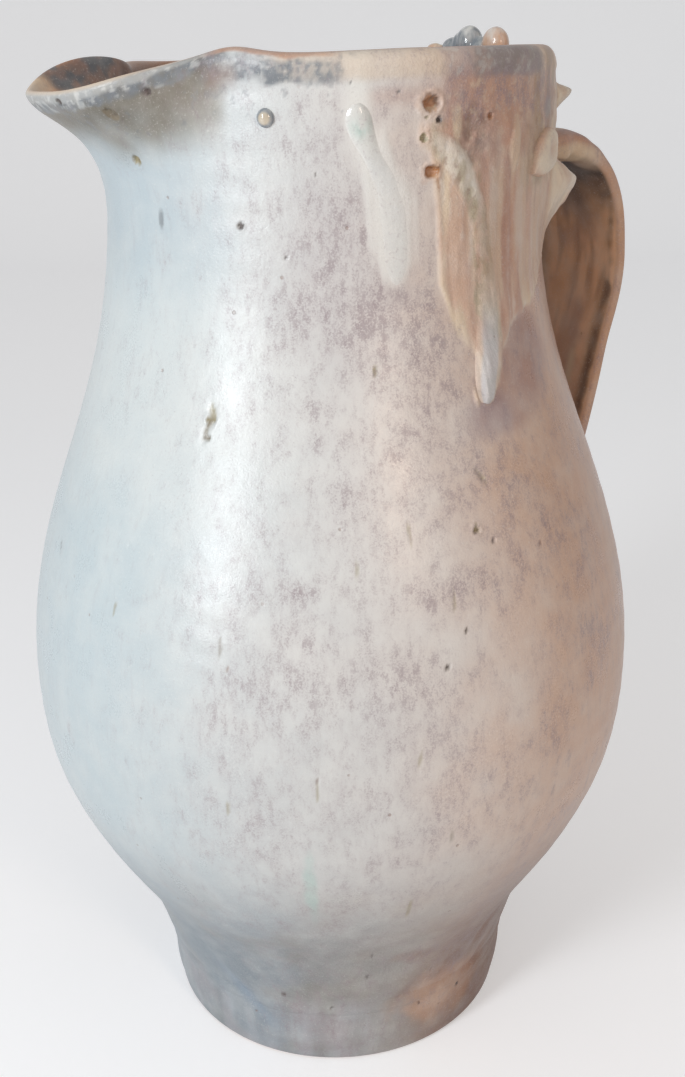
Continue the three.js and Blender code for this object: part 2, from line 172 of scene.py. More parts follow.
# The lamps: name, place, the point that they face, width, height, and colour
LAMPS = (
    ("window_key", (-0.88, -0.38, 0.50), (0.0, 0.0, 0.18), 0.2, 0.5, (0.93, 0.97, 1.0)),
    ("warm_fill", (0.06, -0.95, 0.56), (0.0, 0.0, 0.2), 0.13, 0.3, (1.0, 0.8, 0.64)),
)


def tone(code):
    """A colour written as sRGB hex, in the linear values that Blender keeps."""
    parts = [((code >> shift) & 255) / 255 for shift in (16, 8, 0)]
    return tuple(p / 12.92 if p <= 0.04045 else ((p + 0.055) / 1.055) ** 2.4 for p in parts)


def colour(name, description, code):
    return bpy.props.FloatVectorProperty(
        name=name, description=description, subtype="COLOR", size=3, min=0, max=1, default=tone(code))


def length(name, description, default):
    return bpy.props.FloatProperty(
        name=name, description=description, default=default, min=0, unit="LENGTH", subtype="DISTANCE",
        precision=5)


class JugSizes(bpy.types.PropertyGroup):
    foot_height: length("Foot height", "Height of the turned foot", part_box("turned_foot")[1].z)
    foot_radius: length("Foot radius", "Widest radius of the foot", 0.0602)
    waist_radius: length("Waist radius", "Radius where the foot meets the belly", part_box("turned_foot")[1].y)
    belly_height: length("Belly height", "Height of the widest line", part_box("lower_body")[1].z)
    belly_radius: length("Belly radius", "Radius at the widest line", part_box("lower_body")[1].y)
    neck_height: length("Neck height", "Height where the neck is narrowest", 0.283)
    neck_radius: length("Neck radius", "Radius of the neck where it is narrowest", 0.065)
    rim_height: length("Rim height", "Height of the rim away from the spout", 0.3215)
    rim_radius: length("Rim radius", "Radius of the rim away from the spout", 0.0662)
    spout_reach: length("Spout reach", "How far the spout's lip stands out from the axis", 0.0837)
    strap_width: length("Strap width", "Width of the handle's strap", 0.044)
    strap_thickness: length("Strap thickness", "Thickness of the handle's strap", 0.007)
    ring_depth: length("Throwing ring depth", "How deep the marks of the potter's fingers are", 0.00006)
    peel: length("Glaze texture", "Height of the fine texture on the glaze", 0.00012)


class JugColours(bpy.types.PropertyGroup):
    # Celadon and blush are the glaze's own colours, with painted cool light on the spout's side and painted
    # warm light on the handle's side
    celadon: colour("Celadon", "Pale blue-green glaze on the spout's side", 0xC3CFD3)
    pearl: colour("Pearl", "Pale glaze on the front of the belly", 0xD8D5D2)
    blush: colour("Blush", "Warm beige glaze on the handle's side", 0xD0AC93)
    rose: colour("Rose", "Thin glaze over warm clay", 0xAE8473)
    mauve: colour("Mauve", "Thin glaze over dark clay", 0x9A888E)
    smoke: colour("Smoke", "Blue-grey ash on the rim", 0x747A80)
    # Ash also serves as the painted shadow under the spout
    ash: colour("Ash", "Warm grey ash under the spout", 0x786C58)
    umber: colour("Umber", "Brown flashed clay", 0x8A6655)
    # Hearth is lighter than the red-brown clay: painted light standing in for the light that the shaded inside
    # of the handle lacks
    hearth_with_painted_light: colour("Hearth", "Red-brown clay inside the handle", 0xF0C29C)
    iron: colour("Iron", "Dark spots and pits", 0x3D2E27)
    amber: colour("Amber", "Bare orange clay in the craters", 0xA66C38)
    # On the lip's edge, peach is bare clay with a painted warm reflection
    peach: colour("Peach", "Flashed clay on the lip", 0xD2A07E)
    cream: colour("Cream", "Thick cream glaze", 0xDCCBB0)
    olive: colour("Olive", "Olive tinge in the thick glaze", 0x968A66)
    ice: colour("Ice", "Pale blue glass where the glaze pooled", 0xC4C8CE)
    milk: colour("Milk", "White glaze of the drop", 0xE4E3DE)
    turquoise: colour("Turquoise", "Faint copper tint", 0x9FC6BC)
    slate: colour("Slate", "Blue-grey glaze low on the foot", 0x8A99A8)
    bare_clay: colour("Bare clay", "Unglazed clay under the foot", 0xAB866B)
    floor: colour("Floor", "Colour of the studio floor", 0xE4E4E6)


class StudioLights(bpy.types.PropertyGroup):
    key_power: bpy.props.FloatProperty(
        name="Key power", description="Power of the tall soft lamp on the left", default=5.8, min=0,
        unit="POWER")
    fill_power: bpy.props.FloatProperty(
        name="Fill power", description="Power of the soft lamp on the right", default=1.7, min=0,
        unit="POWER")
    sky: bpy.props.FloatProperty(
        name="Sky", description="Strength of the even light all round", default=0.42, min=0, subtype="FACTOR",
        max=2)


def sizes():
    """The sizes in millimetres, by name."""
    group = bpy.context.scene.jug_sizes
    return {name: getattr(group, name) / MM for name in JugSizes.__annotations__}


def colours():
    group = bpy.context.scene.jug_colours
    return {name: np.array(getattr(group, name)[:]) for name in JugColours.__annotations__}


def lerp(a, b, share):
    return a + (b - a) * share


def smooth(share):
    share = np.clip(share, 0, 1)
    return share * share * (3 - 2 * share)


def apart(turn, other):
    return (turn - other + 180) % 360 - 180


def from_seam(turn):
    """The same turn counted from -60 up to 300."""
    return (turn + 60) % 360 - 60


def bell(distance, width):
    return np.exp(-((distance / width) ** 2))


def fade_in(value, start, span):
    return smooth((value - start) / span)


def between(value, low, high, soft):
    """1 from low to high, fading over the soft distance outside them."""
    return smooth((value - low) / soft + 1) * smooth((high - value) / soft + 1)


def mixed(base, colour_at, share):
    return base + (colour_at - base) * np.clip(share, 0, 1)[..., None]


def flat_points(x, y):
    """Points of a flat pattern, for its grain."""
    return np.stack([x, y, 0 * x], -1)


def lobe(turn, spread, squareness):
    return np.exp(-((np.abs(apart(turn, 0)) / spread) ** squareness))


def bezier(points, share):
    """A point on a Bezier curve in (radius, height); the corners may be arrays."""
    while len(points) > 1:
        points = [(lerp(a[0], b[0], share), lerp(a[1], b[1], share)) for a, b in zip(points, points[1:])]
    return points[0]


def around(turn, radius, height):
    angle = np.radians(turn)
    return np.stack([-radius * np.cos(angle), -radius * np.sin(angle), height + 0 * angle], -1)


# A turn that keeps the noise's grid out of line with the jug
ASKEW = np.array(Matrix.Rotation(0.9, 3, Vector((0.5, 0.7, 0.3))))


def grain(points, size, seed):
    """Smooth noise from -1 to 1 at points in millimetres, with lumps of about the size given."""
    at = points @ ASKEW / size + seed * 17.31
    low = np.floor(at).astype(np.int64)
    part = smooth(at - low)
    total = np.zeros(at.shape[:-1])
    for corner in range(8):
        step = np.array([(corner >> axis) & 1 for axis in range(3)])
        key = ((low + step) * np.array([73856093, 19349663, 83492791])).sum(-1) + seed * 6151
        key = (key ^ (key >> 13)) * 1274126177 & 0x7FFFFFFF
        value = ((key ^ (key >> 16)) & 0xFFFF) / 32767.5 - 1
        weight = np.where(step, part, 1 - part).prod(-1)
        total += value * weight
    return total


def rough_grain(points, size, seed, drawn=1):
    """Noise in three sizes of lump, drawn out along the jug where a share under 1 is given."""
    points = points * np.array([1, 1, drawn])
    return sum(grain(points, size / 2 ** n, seed + n) / 2 ** n for n in range(3)) / 1.5


# The thrown wall

def belly_corners(s):
    out, up, high = BELLY_FULLNESS
    waist, belly, low, top = s["waist_radius"], s["belly_radius"], s["foot_height"], s["belly_height"]
    return [(waist, low), (lerp(waist, belly, out), lerp(low, top, up)), (belly, lerp(top, low, high)),
            (belly, top)]


def shoulder_corners(s):
    low, high = SHOULDER_FULLNESS
    belly, neck, bottom, top = s["belly_radius"], s["neck_radius"], s["belly_height"], s["neck_height"]
    return [(belly, bottom), (belly, lerp(bottom, top, low)), (neck, lerp(top, bottom, high)),
            (neck, top)]


def share_at_height(corners, height):
    low, high = 0.0, 1.0
    for _ in range(40):
        middle = (low + high) / 2
        if bezier(corners, middle)[1] < height:
            low = middle
        else:
            high = middle
    return (low + high) / 2


def spout_share(turn):
    near, far = (lobe(turn, spread, SPOUT_SQUARENESS) for spread in SPOUT_SPREAD)
    return np.where(apart(turn, 0) > 0, near, far)


def rim_radius(turn, s):
    pinches = sum(depth * bell(apart(turn, at), width) for at, width, depth, _ in PINCHES)
    return lerp(s["rim_radius"], s["spout_reach"], spout_share(turn)) - pinches


def rim_height(turn, s):
    depth, spread, squareness = SPOUT_DIP
    rises = sum(rise * bell(apart(turn, at), width) for at, width, _, rise in PINCHES)
    sags = sum(drop * bell(apart(turn, at), width) for at, width, drop in SAGS)
    return s["rim_height"] - depth * lobe(turn, spread, squareness) + rises - sags


def near_root(turn):
    return bell(apart(turn, ROOT_SWELL["turn"]), ROOT_SWELL["width"])


def root_swell(turn, height, s):
    share = (height - SPOUT_START) / (s["rim_height"] - SPOUT_START)
    fade = 1 - smooth((share - ROOT_SWELL["fade"]) / (ROOT_SWELL["end"] - ROOT_SWELL["fade"]))
    return ROOT_SWELL["rise"] * near_root(turn) * smooth(share / ROOT_SWELL["full"]) * fade


def rim_corners(turn, s):
    """The outer wall from the spout's start to just under the lip, and the tilt that it ends at."""
    corners = shoulder_corners(s)
    start = bezier(corners, share_at_height(corners, SPOUT_START))
    share = spout_share(turn)
    in_radius, in_share, end_share, tilt = (lerp(a, b, share) for a, b in zip(PLAIN_NECK, SPOUT_NECK))
    tilt = np.radians(tilt)
    lip_round = lerp(LIP_ROUND, ROOT_LIP_ROUND, near_root(turn))
    end = (rim_radius(turn, s), rim_height(turn, s) - lip_round * np.cos(tilt))
    rise = end[1] - start[1]
    reach = rise * end_share
    return [start, (in_radius, start[1] + rise * in_share),
            (end[0] - np.sin(tilt) * reach, end[1] - np.cos(tilt) * reach), end]


def turns():
    """The turns of the wall's columns, closer together where more is seen."""
    return np.concatenate([np.linspace(low, high, round((high - low) / step), endpoint=False)
                           for low, high, step in TURN_STEPS])


class Wall:
    """One grid over the whole jug, from the middle of the underside over the lip to the floor inside.

    radius and height have a row for each ring and a column for each turn. The named row numbers say
    where one piece ends and the next begins.
    """

    def __init__(self):
        s = sizes()
        self.sizes = s
        self.turn = turns()
        self.radius, self.height, self.out_r, self.out_z = [], [], [], []
        self.mark = {}
        self.count = 0
        self.throw()
        self.radius, self.height = np.concatenate(self.radius), np.concatenate(self.height)
        self.out_r, self.out_z = np.concatenate(self.out_r), np.concatenate(self.out_z)
        self.shape()
        self.table()
        self.paint = paint_wall(self)

    def rows(self, radius, height, out_r, out_z):
        wide = np.ones((1, len(self.turn)))
        kept = self.radius, self.height, self.out_r, self.out_z
        for rows, values in zip(kept, (radius, height, out_r, out_z)):
            values = np.asarray(values, float)
            rows.append(values[:, None] * wide if values.ndim == 1 else values * wide)
        self.count += len(self.radius[-1])

    def curve(self, stretch, corners, ends=(0, 1), inside=0.0):
        """Rows along a stretch that doesn't change round the jug."""
        shares = np.linspace(*ends, ROWS[stretch])[1 if self.count else 0:]
        r, z = bezier(corners, shares)
        ahead, back = bezier(corners, shares + 1e-4), bezier(corners, shares - 1e-4)
        along = np.stack([ahead[0] - back[0], ahead[1] - back[1]])
        along = along / np.linalg.norm(along, axis=0)
        sign = -1 if inside else 1
        self.rows(r - inside, z, sign * along[1], -sign * along[0])

    def throw(self):
        s = self.sizes
        foot, waist, low = s["foot_radius"], s["waist_radius"], s["foot_height"]
        ankle, ankle_height = waist - ANKLE_INSET, low * 0.75
        edge, hollow = foot - FOOT_EDGE_INSET, UNDERSIDE_HOLLOW
        ring = edge - STANDING_RING
        self.curve("underside", [(SMALLEST_RING, hollow), (ring - 3, hollow)])
        self.curve("hollow", [(ring - 3, hollow), (ring - 1, hollow), (ring - 1, 0), (ring + 1, 0)])
        self.curve("standing_ring", [(ring + 1, 0), (edge, 0)])
        self.curve("foot_edge", [(edge, 0), (foot, 0), (foot, FOOT_EDGE)])
        self.curve("foot", [(foot, FOOT_EDGE), (foot, lerp(FOOT_EDGE, ankle_height, 0.6)),
                            (ankle, ankle_height)])
        self.curve("ankle", [(ankle, ankle_height), (ankle, lerp(ankle_height, low, 0.6)), (waist, low)])
        self.mark["foot"] = self.count - 1
        self.curve("belly", belly_corners(s))
        self.mark["belly"] = self.count - 1
        corners = shoulder_corners(s)
        top = share_at_height(corners, SPOUT_START)
        self.curve("shoulder", corners, (0, top))
        self.mark["neck"] = self.count - 1
        self.rim()
        self.curve("inner_shoulder", corners, (top, 0), WALL)
        self.mark["inner_belly"] = self.count - 1
        self.curve("inner_belly", belly_corners(s), (1, 0), WALL)
        self.mark["inner_foot"] = self.count - 1
        well = foot - WALL - 1
        floor = FLOOR_THICKNESS + FLOOR_CORNER
        self.curve("well", [(waist - WALL, low), (well, floor)])
        self.curve("floor_corner", [(well, floor), (well, FLOOR_THICKNESS),
                                    (well - FLOOR_CORNER, FLOOR_THICKNESS)])
        self.curve("floor", [(well - FLOOR_CORNER, FLOOR_THICKNESS), (SMALLEST_RING, FLOOR_THICKNESS)])

    def rim(self):
        """Rows up the outside of the neck and spout, over the lip, and down to the spout's start."""
        s, turn = self.sizes, self.turn
        corners = rim_corners(turn, s)
        slopes = [(b[0] - a[0], b[1] - a[1]) for a, b in zip(corners, corners[1:])]

        def section(shares):
            share = np.asarray(shares)[:, None]
            r, z = bezier(corners, share)
            dr, dz = bezier(slopes, share)
            size = np.hypot(dr, dz)
            level = smooth(share * 5)
            out_r, out_z = lerp(1.0, dz / size, level), lerp(0.0, -dr / size, level)
            size = np.hypot(out_r, out_z)
            return r, z, out_r / size, out_z / size

        r, z, out_r, out_z = section(np.linspace(0, 1, ROWS["neck"])[1:])
        swell = root_swell(turn, z, s)
        self.rows(r + out_r * swell, z + out_z * swell, out_r, out_z)
        outside = (self.radius[-1][-1], self.height[-1][-1])
        share = np.linspace(1, 0, ROWS["inner_neck"])
        r, z, in_r, in_z = section(share)
        thick = lerp(WALL, lerp(LIP_THICKNESS, SPOUT_LIP, spout_share(turn)), share[:, None])
        inner = r - in_r * thick, z - in_z * thick
        end = (inner[0][0], inner[1][0])
        middle = (outside[0] + end[0]) / 2, (outside[1] + end[1]) / 2
        half = outside[0] - middle[0], outside[1] - middle[1]
        up = -out_z[-1], out_r[-1]
        rounder = near_root(turn)
        lip_round = lerp(LIP_ROUND, ROOT_LIP_ROUND, rounder)
        angle = np.linspace(0, math.pi, ROWS["lip"] + 2)[1:-1, None]
        side = np.sign(np.cos(angle)) * np.abs(np.cos(angle)) ** lerp(0.7, 1.0, rounder)
        rise = lip_round * np.sin(angle) ** lerp(0.8, 1.0, rounder)
        n_r = half[0] * np.cos(angle) / np.hypot(*half) + up[0] * np.sin(angle)
        n_z = half[1] * np.cos(angle) / np.hypot(*half) + up[1] * np.sin(angle)
        self.rows(middle[0] + half[0] * side + up[0] * rise,
                  middle[1] + half[1] * side + up[1] * rise, n_r, n_z)
        self.mark["lip"] = self.count - ROWS["lip"] // 2 - 1
        self.rows(inner[0], inner[1], -in_r, -in_z)
        self.mark["inner_neck"] = self.count - 1

    def shape(self):
        """Adds the marks of hands, tools and fire to the smooth grid."""
        even = around(self.turn, self.radius, self.height)
        relief = wall_relief(self, even)
        self.radius = self.radius + self.out_r * relief
        self.height = self.height + self.out_z * relief
        limit = self.sizes["belly_radius"] - 0.02
        self.radius = np.where(self.radius > limit, limit, self.radius)
        self.points = around(self.turn, self.radius, self.height)
        self.normals = grid_normals(self.points)
        steps = np.linalg.norm(np.diff(self.points, axis=0), axis=-1)
        run = np.concatenate([np.zeros((1, len(self.turn))), np.cumsum(steps, axis=0)])
        self.from_lip = run[self.mark["lip"]] - run

    def table(self):
        """The outer radius on even steps of height, for placing pieces on the wall."""
        self.levels = np.arange(*LEVELS)
        outer = slice(20, self.mark["lip"] - ROWS_UNDER_LIP)
        self.reach = np.empty((len(self.levels), len(self.turn)))
        for column in range(len(self.turn)):
            self.reach[:, column] = np.interp(
                self.levels, self.height[outer, column], self.radius[outer, column])

    def radius_at(self, turn, height):
        turn = (np.asarray(turn, float) - self.turn[0]) % 360 + self.turn[0]
        height = np.asarray(height, float)
        edges = np.append(self.turn, self.turn[0] + 360)
        column = np.clip(np.searchsorted(edges, turn, side="right") - 1, 0, len(self.turn) - 1)
        share = (turn - edges[column]) / (edges[column + 1] - edges[column])
        row = np.clip((height - LEVELS[0]) / LEVELS[2], 0, len(self.levels) - 1.001)
        low = row.astype(int)
        rise = row - low
        after = (column + 1) % len(self.turn)
        return lerp(lerp(self.reach[low, column], self.reach[low, after], share),
                    lerp(self.reach[low + 1, column], self.reach[low + 1, after], share), rise)

    def place(self, turn, height, lift=0.0):
        """Points on the wall, lifted off it along its normal."""
        radius = self.radius_at(turn, height)
        tall = (self.radius_at(turn, height + 0.8) - self.radius_at(turn, height - 0.8)) / 1.6
        wide = (self.radius_at(turn + 0.8, height) - self.radius_at(turn - 0.8, height)) / np.radians(1.6)
        normal = np.stack([np.ones_like(radius), -wide / radius, -tall], -1)
        normal /= np.linalg.norm(normal, axis=-1, keepdims=True)
        angle = np.radians(turn)
        outward = np.stack([-np.cos(angle), -np.sin(angle), 0 * angle], -1)
        onward = np.stack([np.sin(angle), -np.cos(angle), 0 * angle], -1)
        up = np.array([0.0, 0.0, 1.0])
        normal = normal[..., :1] * outward + normal[..., 1:2] * onward + normal[..., 2:] * up
        return around(turn, radius, height) + normal * np.asarray(lift)[..., None], normal


def grid_normals(points):
    """Normals of a grid whose columns close round and whose rows run out over the top."""
    across = np.roll(points, -1, 1) - np.roll(points, 1, 1)
    along = np.empty_like(points)
    along[1:-1] = points[2:] - points[:-2]
    along[0], along[-1] = points[1] - points[0], points[-1] - points[-2]
    normal = np.cross(across, along)
    size = np.linalg.norm(normal, axis=-1, keepdims=True)
    return normal / np.maximum(size, 1e-12)


# Burst bubbles and pits: turn, height, radius and depth in millimetres, and the clay seen in them.
# Those over the large radius are wider than tall and have a raised rim.
LARGE_CRATER = 1.8
CRATERS = (
    (90.9, 308.6, 2.5, 1.5, "amber"), (92.7, 304.6, 0.9, 0.8, "iron"), (89.6, 305.4, 0.6, 0.5, "olive"),
    (89.0, 300.5, 1.1, 0.9, "olive"), (91.2, 292.0, 1.9, 1.1, "amber"), (107.8, 304.9, 0.9, 0.9, "amber"),
    (20.4, 295.1, 1.5, 0.6, "olive"), (23.2, 307.2, 1.3, 0.5, "ash"), (30.2, 312.4, 0.7, 0.6, "iron"),
    (13.7, 310.2, 0.9, 0.5, "iron"), (46.4, 279.7, 0.9, 0.8, "iron"), (64.0, 292.4, 0.35, 0.3, "iron"),
    (57.0, 272.1, 0.5, 0.4, "iron"), (40.6, 229.6, 1.2, 0.9, "olive"), (40.3, 225.2, 0.9, 0.6, "ash"),
    (76.2, 242.6, 0.8, 0.6, "olive"), (93.7, 199.7, 1.1, 0.9, "olive"), (97.0, 196.4, 0.6, 0.5, "iron"),
    (108.0, 191.0, 0.6, 0.5, "umber"), (88.8, 175.2, 0.7, 0.6, "iron"), (84.8, 165.7, 0.7, 0.6, "iron"),
    (48.6, 167.4, 0.4, 0.3, "umber"), (25.5, 194.0, 0.4, 0.3, "iron"), (62.9, 136.5, 0.5, 0.4, "umber"),
    (83.0, 311.6, 0.5, 0.3, "smoke"), (72.0, 314.0, 0.4, 0.3, "smoke"), (74.3, 53.8, 0.5, 0.4, "iron"),
    (73.7, 41.2, 0.6, 0.5, "iron"), (49.1, 30.6, 0.7, 0.5, "iron"), (63.5, 25.6, 0.6, 0.5, "iron"),
    (92.0, 20.3, 0.5, 0.4, "iron"), (94.1, 35.8, 0.5, 0.4, "iron"), (107.7, 19.6, 0.7, 0.6, "iron"),
)

# Cuts and streaks: turn, height, half length, half width, depth, lean in degrees, and their clay. Those
# under the broad half width are fainter.
BROAD_SLASH = 0.65
SLASHES = (
    (40.9, 231.6, 2.4, 0.9, 0.5, -20, "olive"), (39.8, 227.0, 2.6, 0.8, 0.4, 14, "ash"),
    (97.2, 212.6, 2.8, 0.7, 0.6, -36, "olive"), (1.9, 183.4, 2.2, 0.6, 0.6, -25, "iron"),
    (24.6, 176.3, 2.0, 0.45, 0.4, 6, "olive"), (87.2, 183.2, 3.2, 0.6, 0.4, 6, "olive"),
    (79.4, 140.2, 2.4, 0.6, 0.5, 15, "olive"), (62.9, 133.0, 2.8, 0.5, 0.3, 0, "olive"),
    (80.3, 201.7, 3.6, 0.6, 0.3, -4, "olive"), (70.3, 193.7, 3.0, 0.5, 0.2, 0, "olive"),
    (47.0, 173.0, 3.2, 0.5, 0.3, 0, "ash"), (79.8, 82.6, 4.4, 0.8, 0.2, 0, "olive"),
    (85.5, 112.6, 2.6, 0.5, 0.2, 0, "ash"), (48.2, 125.8, 2.6, 0.5, 0.2, 0, "olive"),
    (24.0, 280.0, 2.6, 1.1, 0.15, 4, "smoke"), (92.9, 289.0, 2.6, 0.5, 0.5, -14, "amber"),
)

# Where the glaze broke into dots over the dark clay: turn, height, half width, half height, strength
MOTTLES = (
    (74.6, 264.8, 14, 17, 0.30), (70.5, 286.0, 9, 14, 0.18), (61.8, 293.0, 8, 8, 0.14),
    (64.8, 276.0, 7, 12, 0.12), (69.9, 256.0, 12, 10, 0.14), (89.1, 246.9, 12, 13, 0.28),
    (93.4, 225.8, 12, 11, 0.24), (67.8, 216.0, 16, 13, 0.10), (60.4, 189.0, 19, 3.6, 0.26),
    (83.8, 186.4, 10, 5.5, 0.26), (66.7, 156.0, 24, 13, 0.16), (45.2, 250.6, 12, 16, 0.08),
    (82.5, 204.6, 14, 9, 0.10), (78.0, 160.0, 16, 12, 0.14), (19.9, 236.8, 13, 12, 0.14),
    (115.4, 195.0, 14, 10, 0.16), (121.7, 158.0, 12, 9, 0.18), (25.0, 281.0, 10, 10, 0.06),
    (106.0, 262.0, 16, 22, 0.06), (88.0, 48.0, 12, 5, 0.3), (118.0, 226.0, 12, 12, 0.12),
    (60.0, 120.0, 30, 16, 0.05),
)

# Creases where the foot was lifted off: turn, height, lean in degrees, half length
CREASES = ((113, 41, 38, 9), (117, 31, 40, 6), (33, 29, -40, 10), (39, 20, -40, 8), (88, 30, 50, 6))

# Scorched places over the foot: turn, height, half width
SCORCHES = ((84.3, 49.7, 5), (89, 47.5, 4), (117, 36, 4), (101.6, 38, 3), (96, 33, 3))

# Soft spots of colour: tint, turn, height, half width, half height, softness of the edge, the grain that
# breaks the edge and by how much, and strength
FOOT_SPOTS = (
    ("peach", 101, 22, 15, 11, 1.2, "small", 0.6, 0.42), ("blush", 98, 19, 7, 4, 0.9, "fine", 0.6, 0.4),
)
BELLY_SPOTS = (
    ("slate", 14, 284, 30, 22, 1.2, "mid", 0.3, 0.2), ("milk", 14, 232, 44, 28, 1.2, "mid", 0.3, 0.34),
    ("turquoise", 61.2, 96, 1.8, 12, 1.0, "small", 0.5, 0.42),
)
ROOT_SPOTS = (
    ("umber", 137, 305, 6, 5, 0.9, "small", 0.6, 0.5), ("smoke", 136, 306, 3, 3, 0.9, "fine", 0.6, 0.5),
    ("cream", 117.5, 297, 3.0, 7.0, 0.7, "small", 0.3, 0.5),
)


def arc(turn, at, radius):
    return np.radians(apart(turn, at)) * radius


def away_from(turn, height, radius, at, level, half_width, half_height):
    """How far places on the wall are from a spot, in its half widths and half heights."""
    return np.hypot(arc(turn, at, radius) / half_width, (height - level) / half_height)


def leaning(x, y, lean):
    """Places across and along a line that leans so many degrees from upright."""
    c, s = math.cos(math.radians(lean)), math.sin(math.radians(lean))
    return x * c - y * s, x * s + y * c


def crease_share(turn, height, radius, crease, wide):
    at, level, lean, long = crease
    across, along = leaning(arc(turn, at, radius), height - level, lean)
    return bell(across, wide) * bell(along, long)


def crater_distance(turn, height, radius, crater):
    """How far places are from a crater's middle, in its radius."""
    at, level, size = crater[:3]
    flat = 1.2 if size > LARGE_CRATER else 1
    return np.hypot(arc(turn, at, radius), (height - level) * flat) / size


def slash_distance(turn, height, radius, slash):
    """How far places are from a slash's middle, in its half width and half length."""
    at, level, long, wide, _, lean, _ = slash
    across, along = leaning(arc(turn, at, radius), height - level, lean)
    return np.hypot(across / wide, along / long)


def within(turn, height, left, right, soft, wobble):
    """How far places lie between two edges given by height, from 0 to 1."""
    first, last = (np.interp(height, *edge) for edge in (left, right))
    return smooth((turn - first + wobble) / soft + 0.5) * smooth((last - turn + wobble) / soft + 0.5)


def wall_relief(wall, even):
    """How far each point of the wall stands off the smooth form, in millimetres."""
    depth = wall.sizes["ring_depth"]
    turn = wall.turn + 0 * wall.height
    height, radius = wall.height, wall.radius
    rows = np.arange(len(height))[:, None]
    outside = smooth((wall.mark["lip"] + 2 - rows) / 10)
    inside = 1 - outside
    bottom = smooth(height / 6)
    # The rings of the potter's fingers, and the unevenness of a thrown and trimmed wall
    wave = height / 7.5 + turn / 360 + 0.35 * grain(even, 60, 3)
    rings = np.sin(2 * math.pi * wave) * (0.5 + 0.5 * grain(even, 45, 4))
    relief = depth * rings * bottom * outside + 2.2 * depth * rings * inside * smooth((height - 12) / 20)
    relief += 0.28 * grain(even, 48, 5) * bottom + 0.1 * grain(even, 14, 6) * bottom
    trim = spline(TRIM, 400)
    relief += outside * np.interp(height, trim[:, 0], trim[:, 1]) * np.clip(wall.out_r, 0, 1) ** 0.5
    step, soft, rise = COLLAR
    groove, wide, drop = COLLAR_GROOVE
    relief += outside * rise * smooth((height - step) / soft) - outside * drop * bell(height - groove, wide)
    # The drapery of glaze that ran from the root, thick where it hangs in folds, and the white wash
    facing = from_seam(turn)
    fold = rough_grain(even, 4.6, 41, 0.06)
    finger = EDGE_WANDER * rough_grain(even, *GRAINS["finger"])
    sheet = within(facing, height, SHEET_LEFT, SHEET_RIGHT, 2.0, finger) * between(height, 231, 302, 5)
    relief += outside * sheet * (0.5 + 0.55 * fold + 0.12 * rough_grain(even, 2.2, 51))
    wash = within(facing, height, WASH_LEFT, WASH_RIGHT, 3.0, finger) * smooth((height - 258) / 6)
    relief += outside * wash * (0.18 + 0.1 * fold)
    # A low fold beside the thumb rest, the strap's clay, and the rough bare patch left of the fold
    away = away_from(turn, height, radius, *FOLD)
    relief += outside * 1.0 * np.clip(1 - away ** 2, 0, 1) ** 0.7
    for at, level, half_width, half_height, thick, steep, folded in STRAP_BLENDS:
        away = away_from(turn, height, radius, at, level, half_width, half_height)
        relief += outside * thick * np.clip(1.02 - away, 0, 1) ** steep * (1 + folded * fold)
    pitted = bell(away_from(turn, height, radius, *PITTED), 1.0)
    relief += outside * pitted * (0.9 * rough_grain(even, 2.4, 45) - 0.4)
    for crease in CREASES:
        relief -= outside * 0.6 * crease_share(turn, height, radius, crease, 2.4)
    # Burst bubbles, pits and slashes
    seen = outside > 0.5
    ragged = 1 + 0.34 * rough_grain(even, 2.2, 47)
    for crater in CRATERS:
        size, drop = crater[2:4]
        away = crater_distance(turn, height, radius, crater) * ragged
        bowl = -drop * smooth((1.05 - away) / 0.4) * (1 + 0.45 * grain(even, 1.5, 49))
        relief += seen * (bowl + 0.24 * drop * bell(away - 1.3, 0.3) * (size > 0.8))
    for slash in SLASHES:
        wide, drop = slash[3:5]
        away = slash_distance(turn, height, radius, slash) * ragged
        strength = 1.0 if wide > BROAD_SLASH else 0.4
        relief -= seen * drop * strength * bell(away, 1.0) * (0.8 + 0.5 * grain(even, 2.0, 57))
    return relief


def add_paint(mesh, key, values):
    layer = mesh.attributes.new(key, "FLOAT_COLOR", "POINT")
    layer.data.foreach_set("color", np.concatenate([values, np.ones((len(values), 1))], 1).ravel())


def build(name, points, faces, normals=None, paints=None):
    """A mesh object from points in millimetres and rows of four or three corners."""
    mesh = bpy.data.meshes.new(name)
    mesh.from_pydata((points * MM).tolist(), [], faces)
    mesh.shade_smooth()
    mesh.update()
    for key, values in (paints or {}).items():
        add_paint(mesh, key, values)
    if normals is not None:
        mesh.normals_split_custom_set_from_vertices(normals.tolist())
    piece = bpy.data.objects.new(name, mesh)
    bpy.context.scene.collection.objects.link(piece)
    return piece


def keep(piece, slot, material, *nodes):
    """Hangs the piece on the root, hides the nodes that it stands for, and gives it its finish."""
    piece.data.materials.clear()
    piece.data.materials.append(material)
    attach(piece, "root")
    if nodes:
        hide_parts(*nodes)
    return piece


def ring_faces(rows, columns, closed_rows=False):
    row = np.arange(rows if closed_rows else rows - 1)[:, None]
    column = np.arange(columns)[None, :]
    after, above = (column + 1) % columns, (row + 1) % rows
    quads = np.stack([row * columns + column, row * columns + after,
                      above * columns + after, above * columns + column], -1).reshape(-1, 4)
    return quads.tolist()


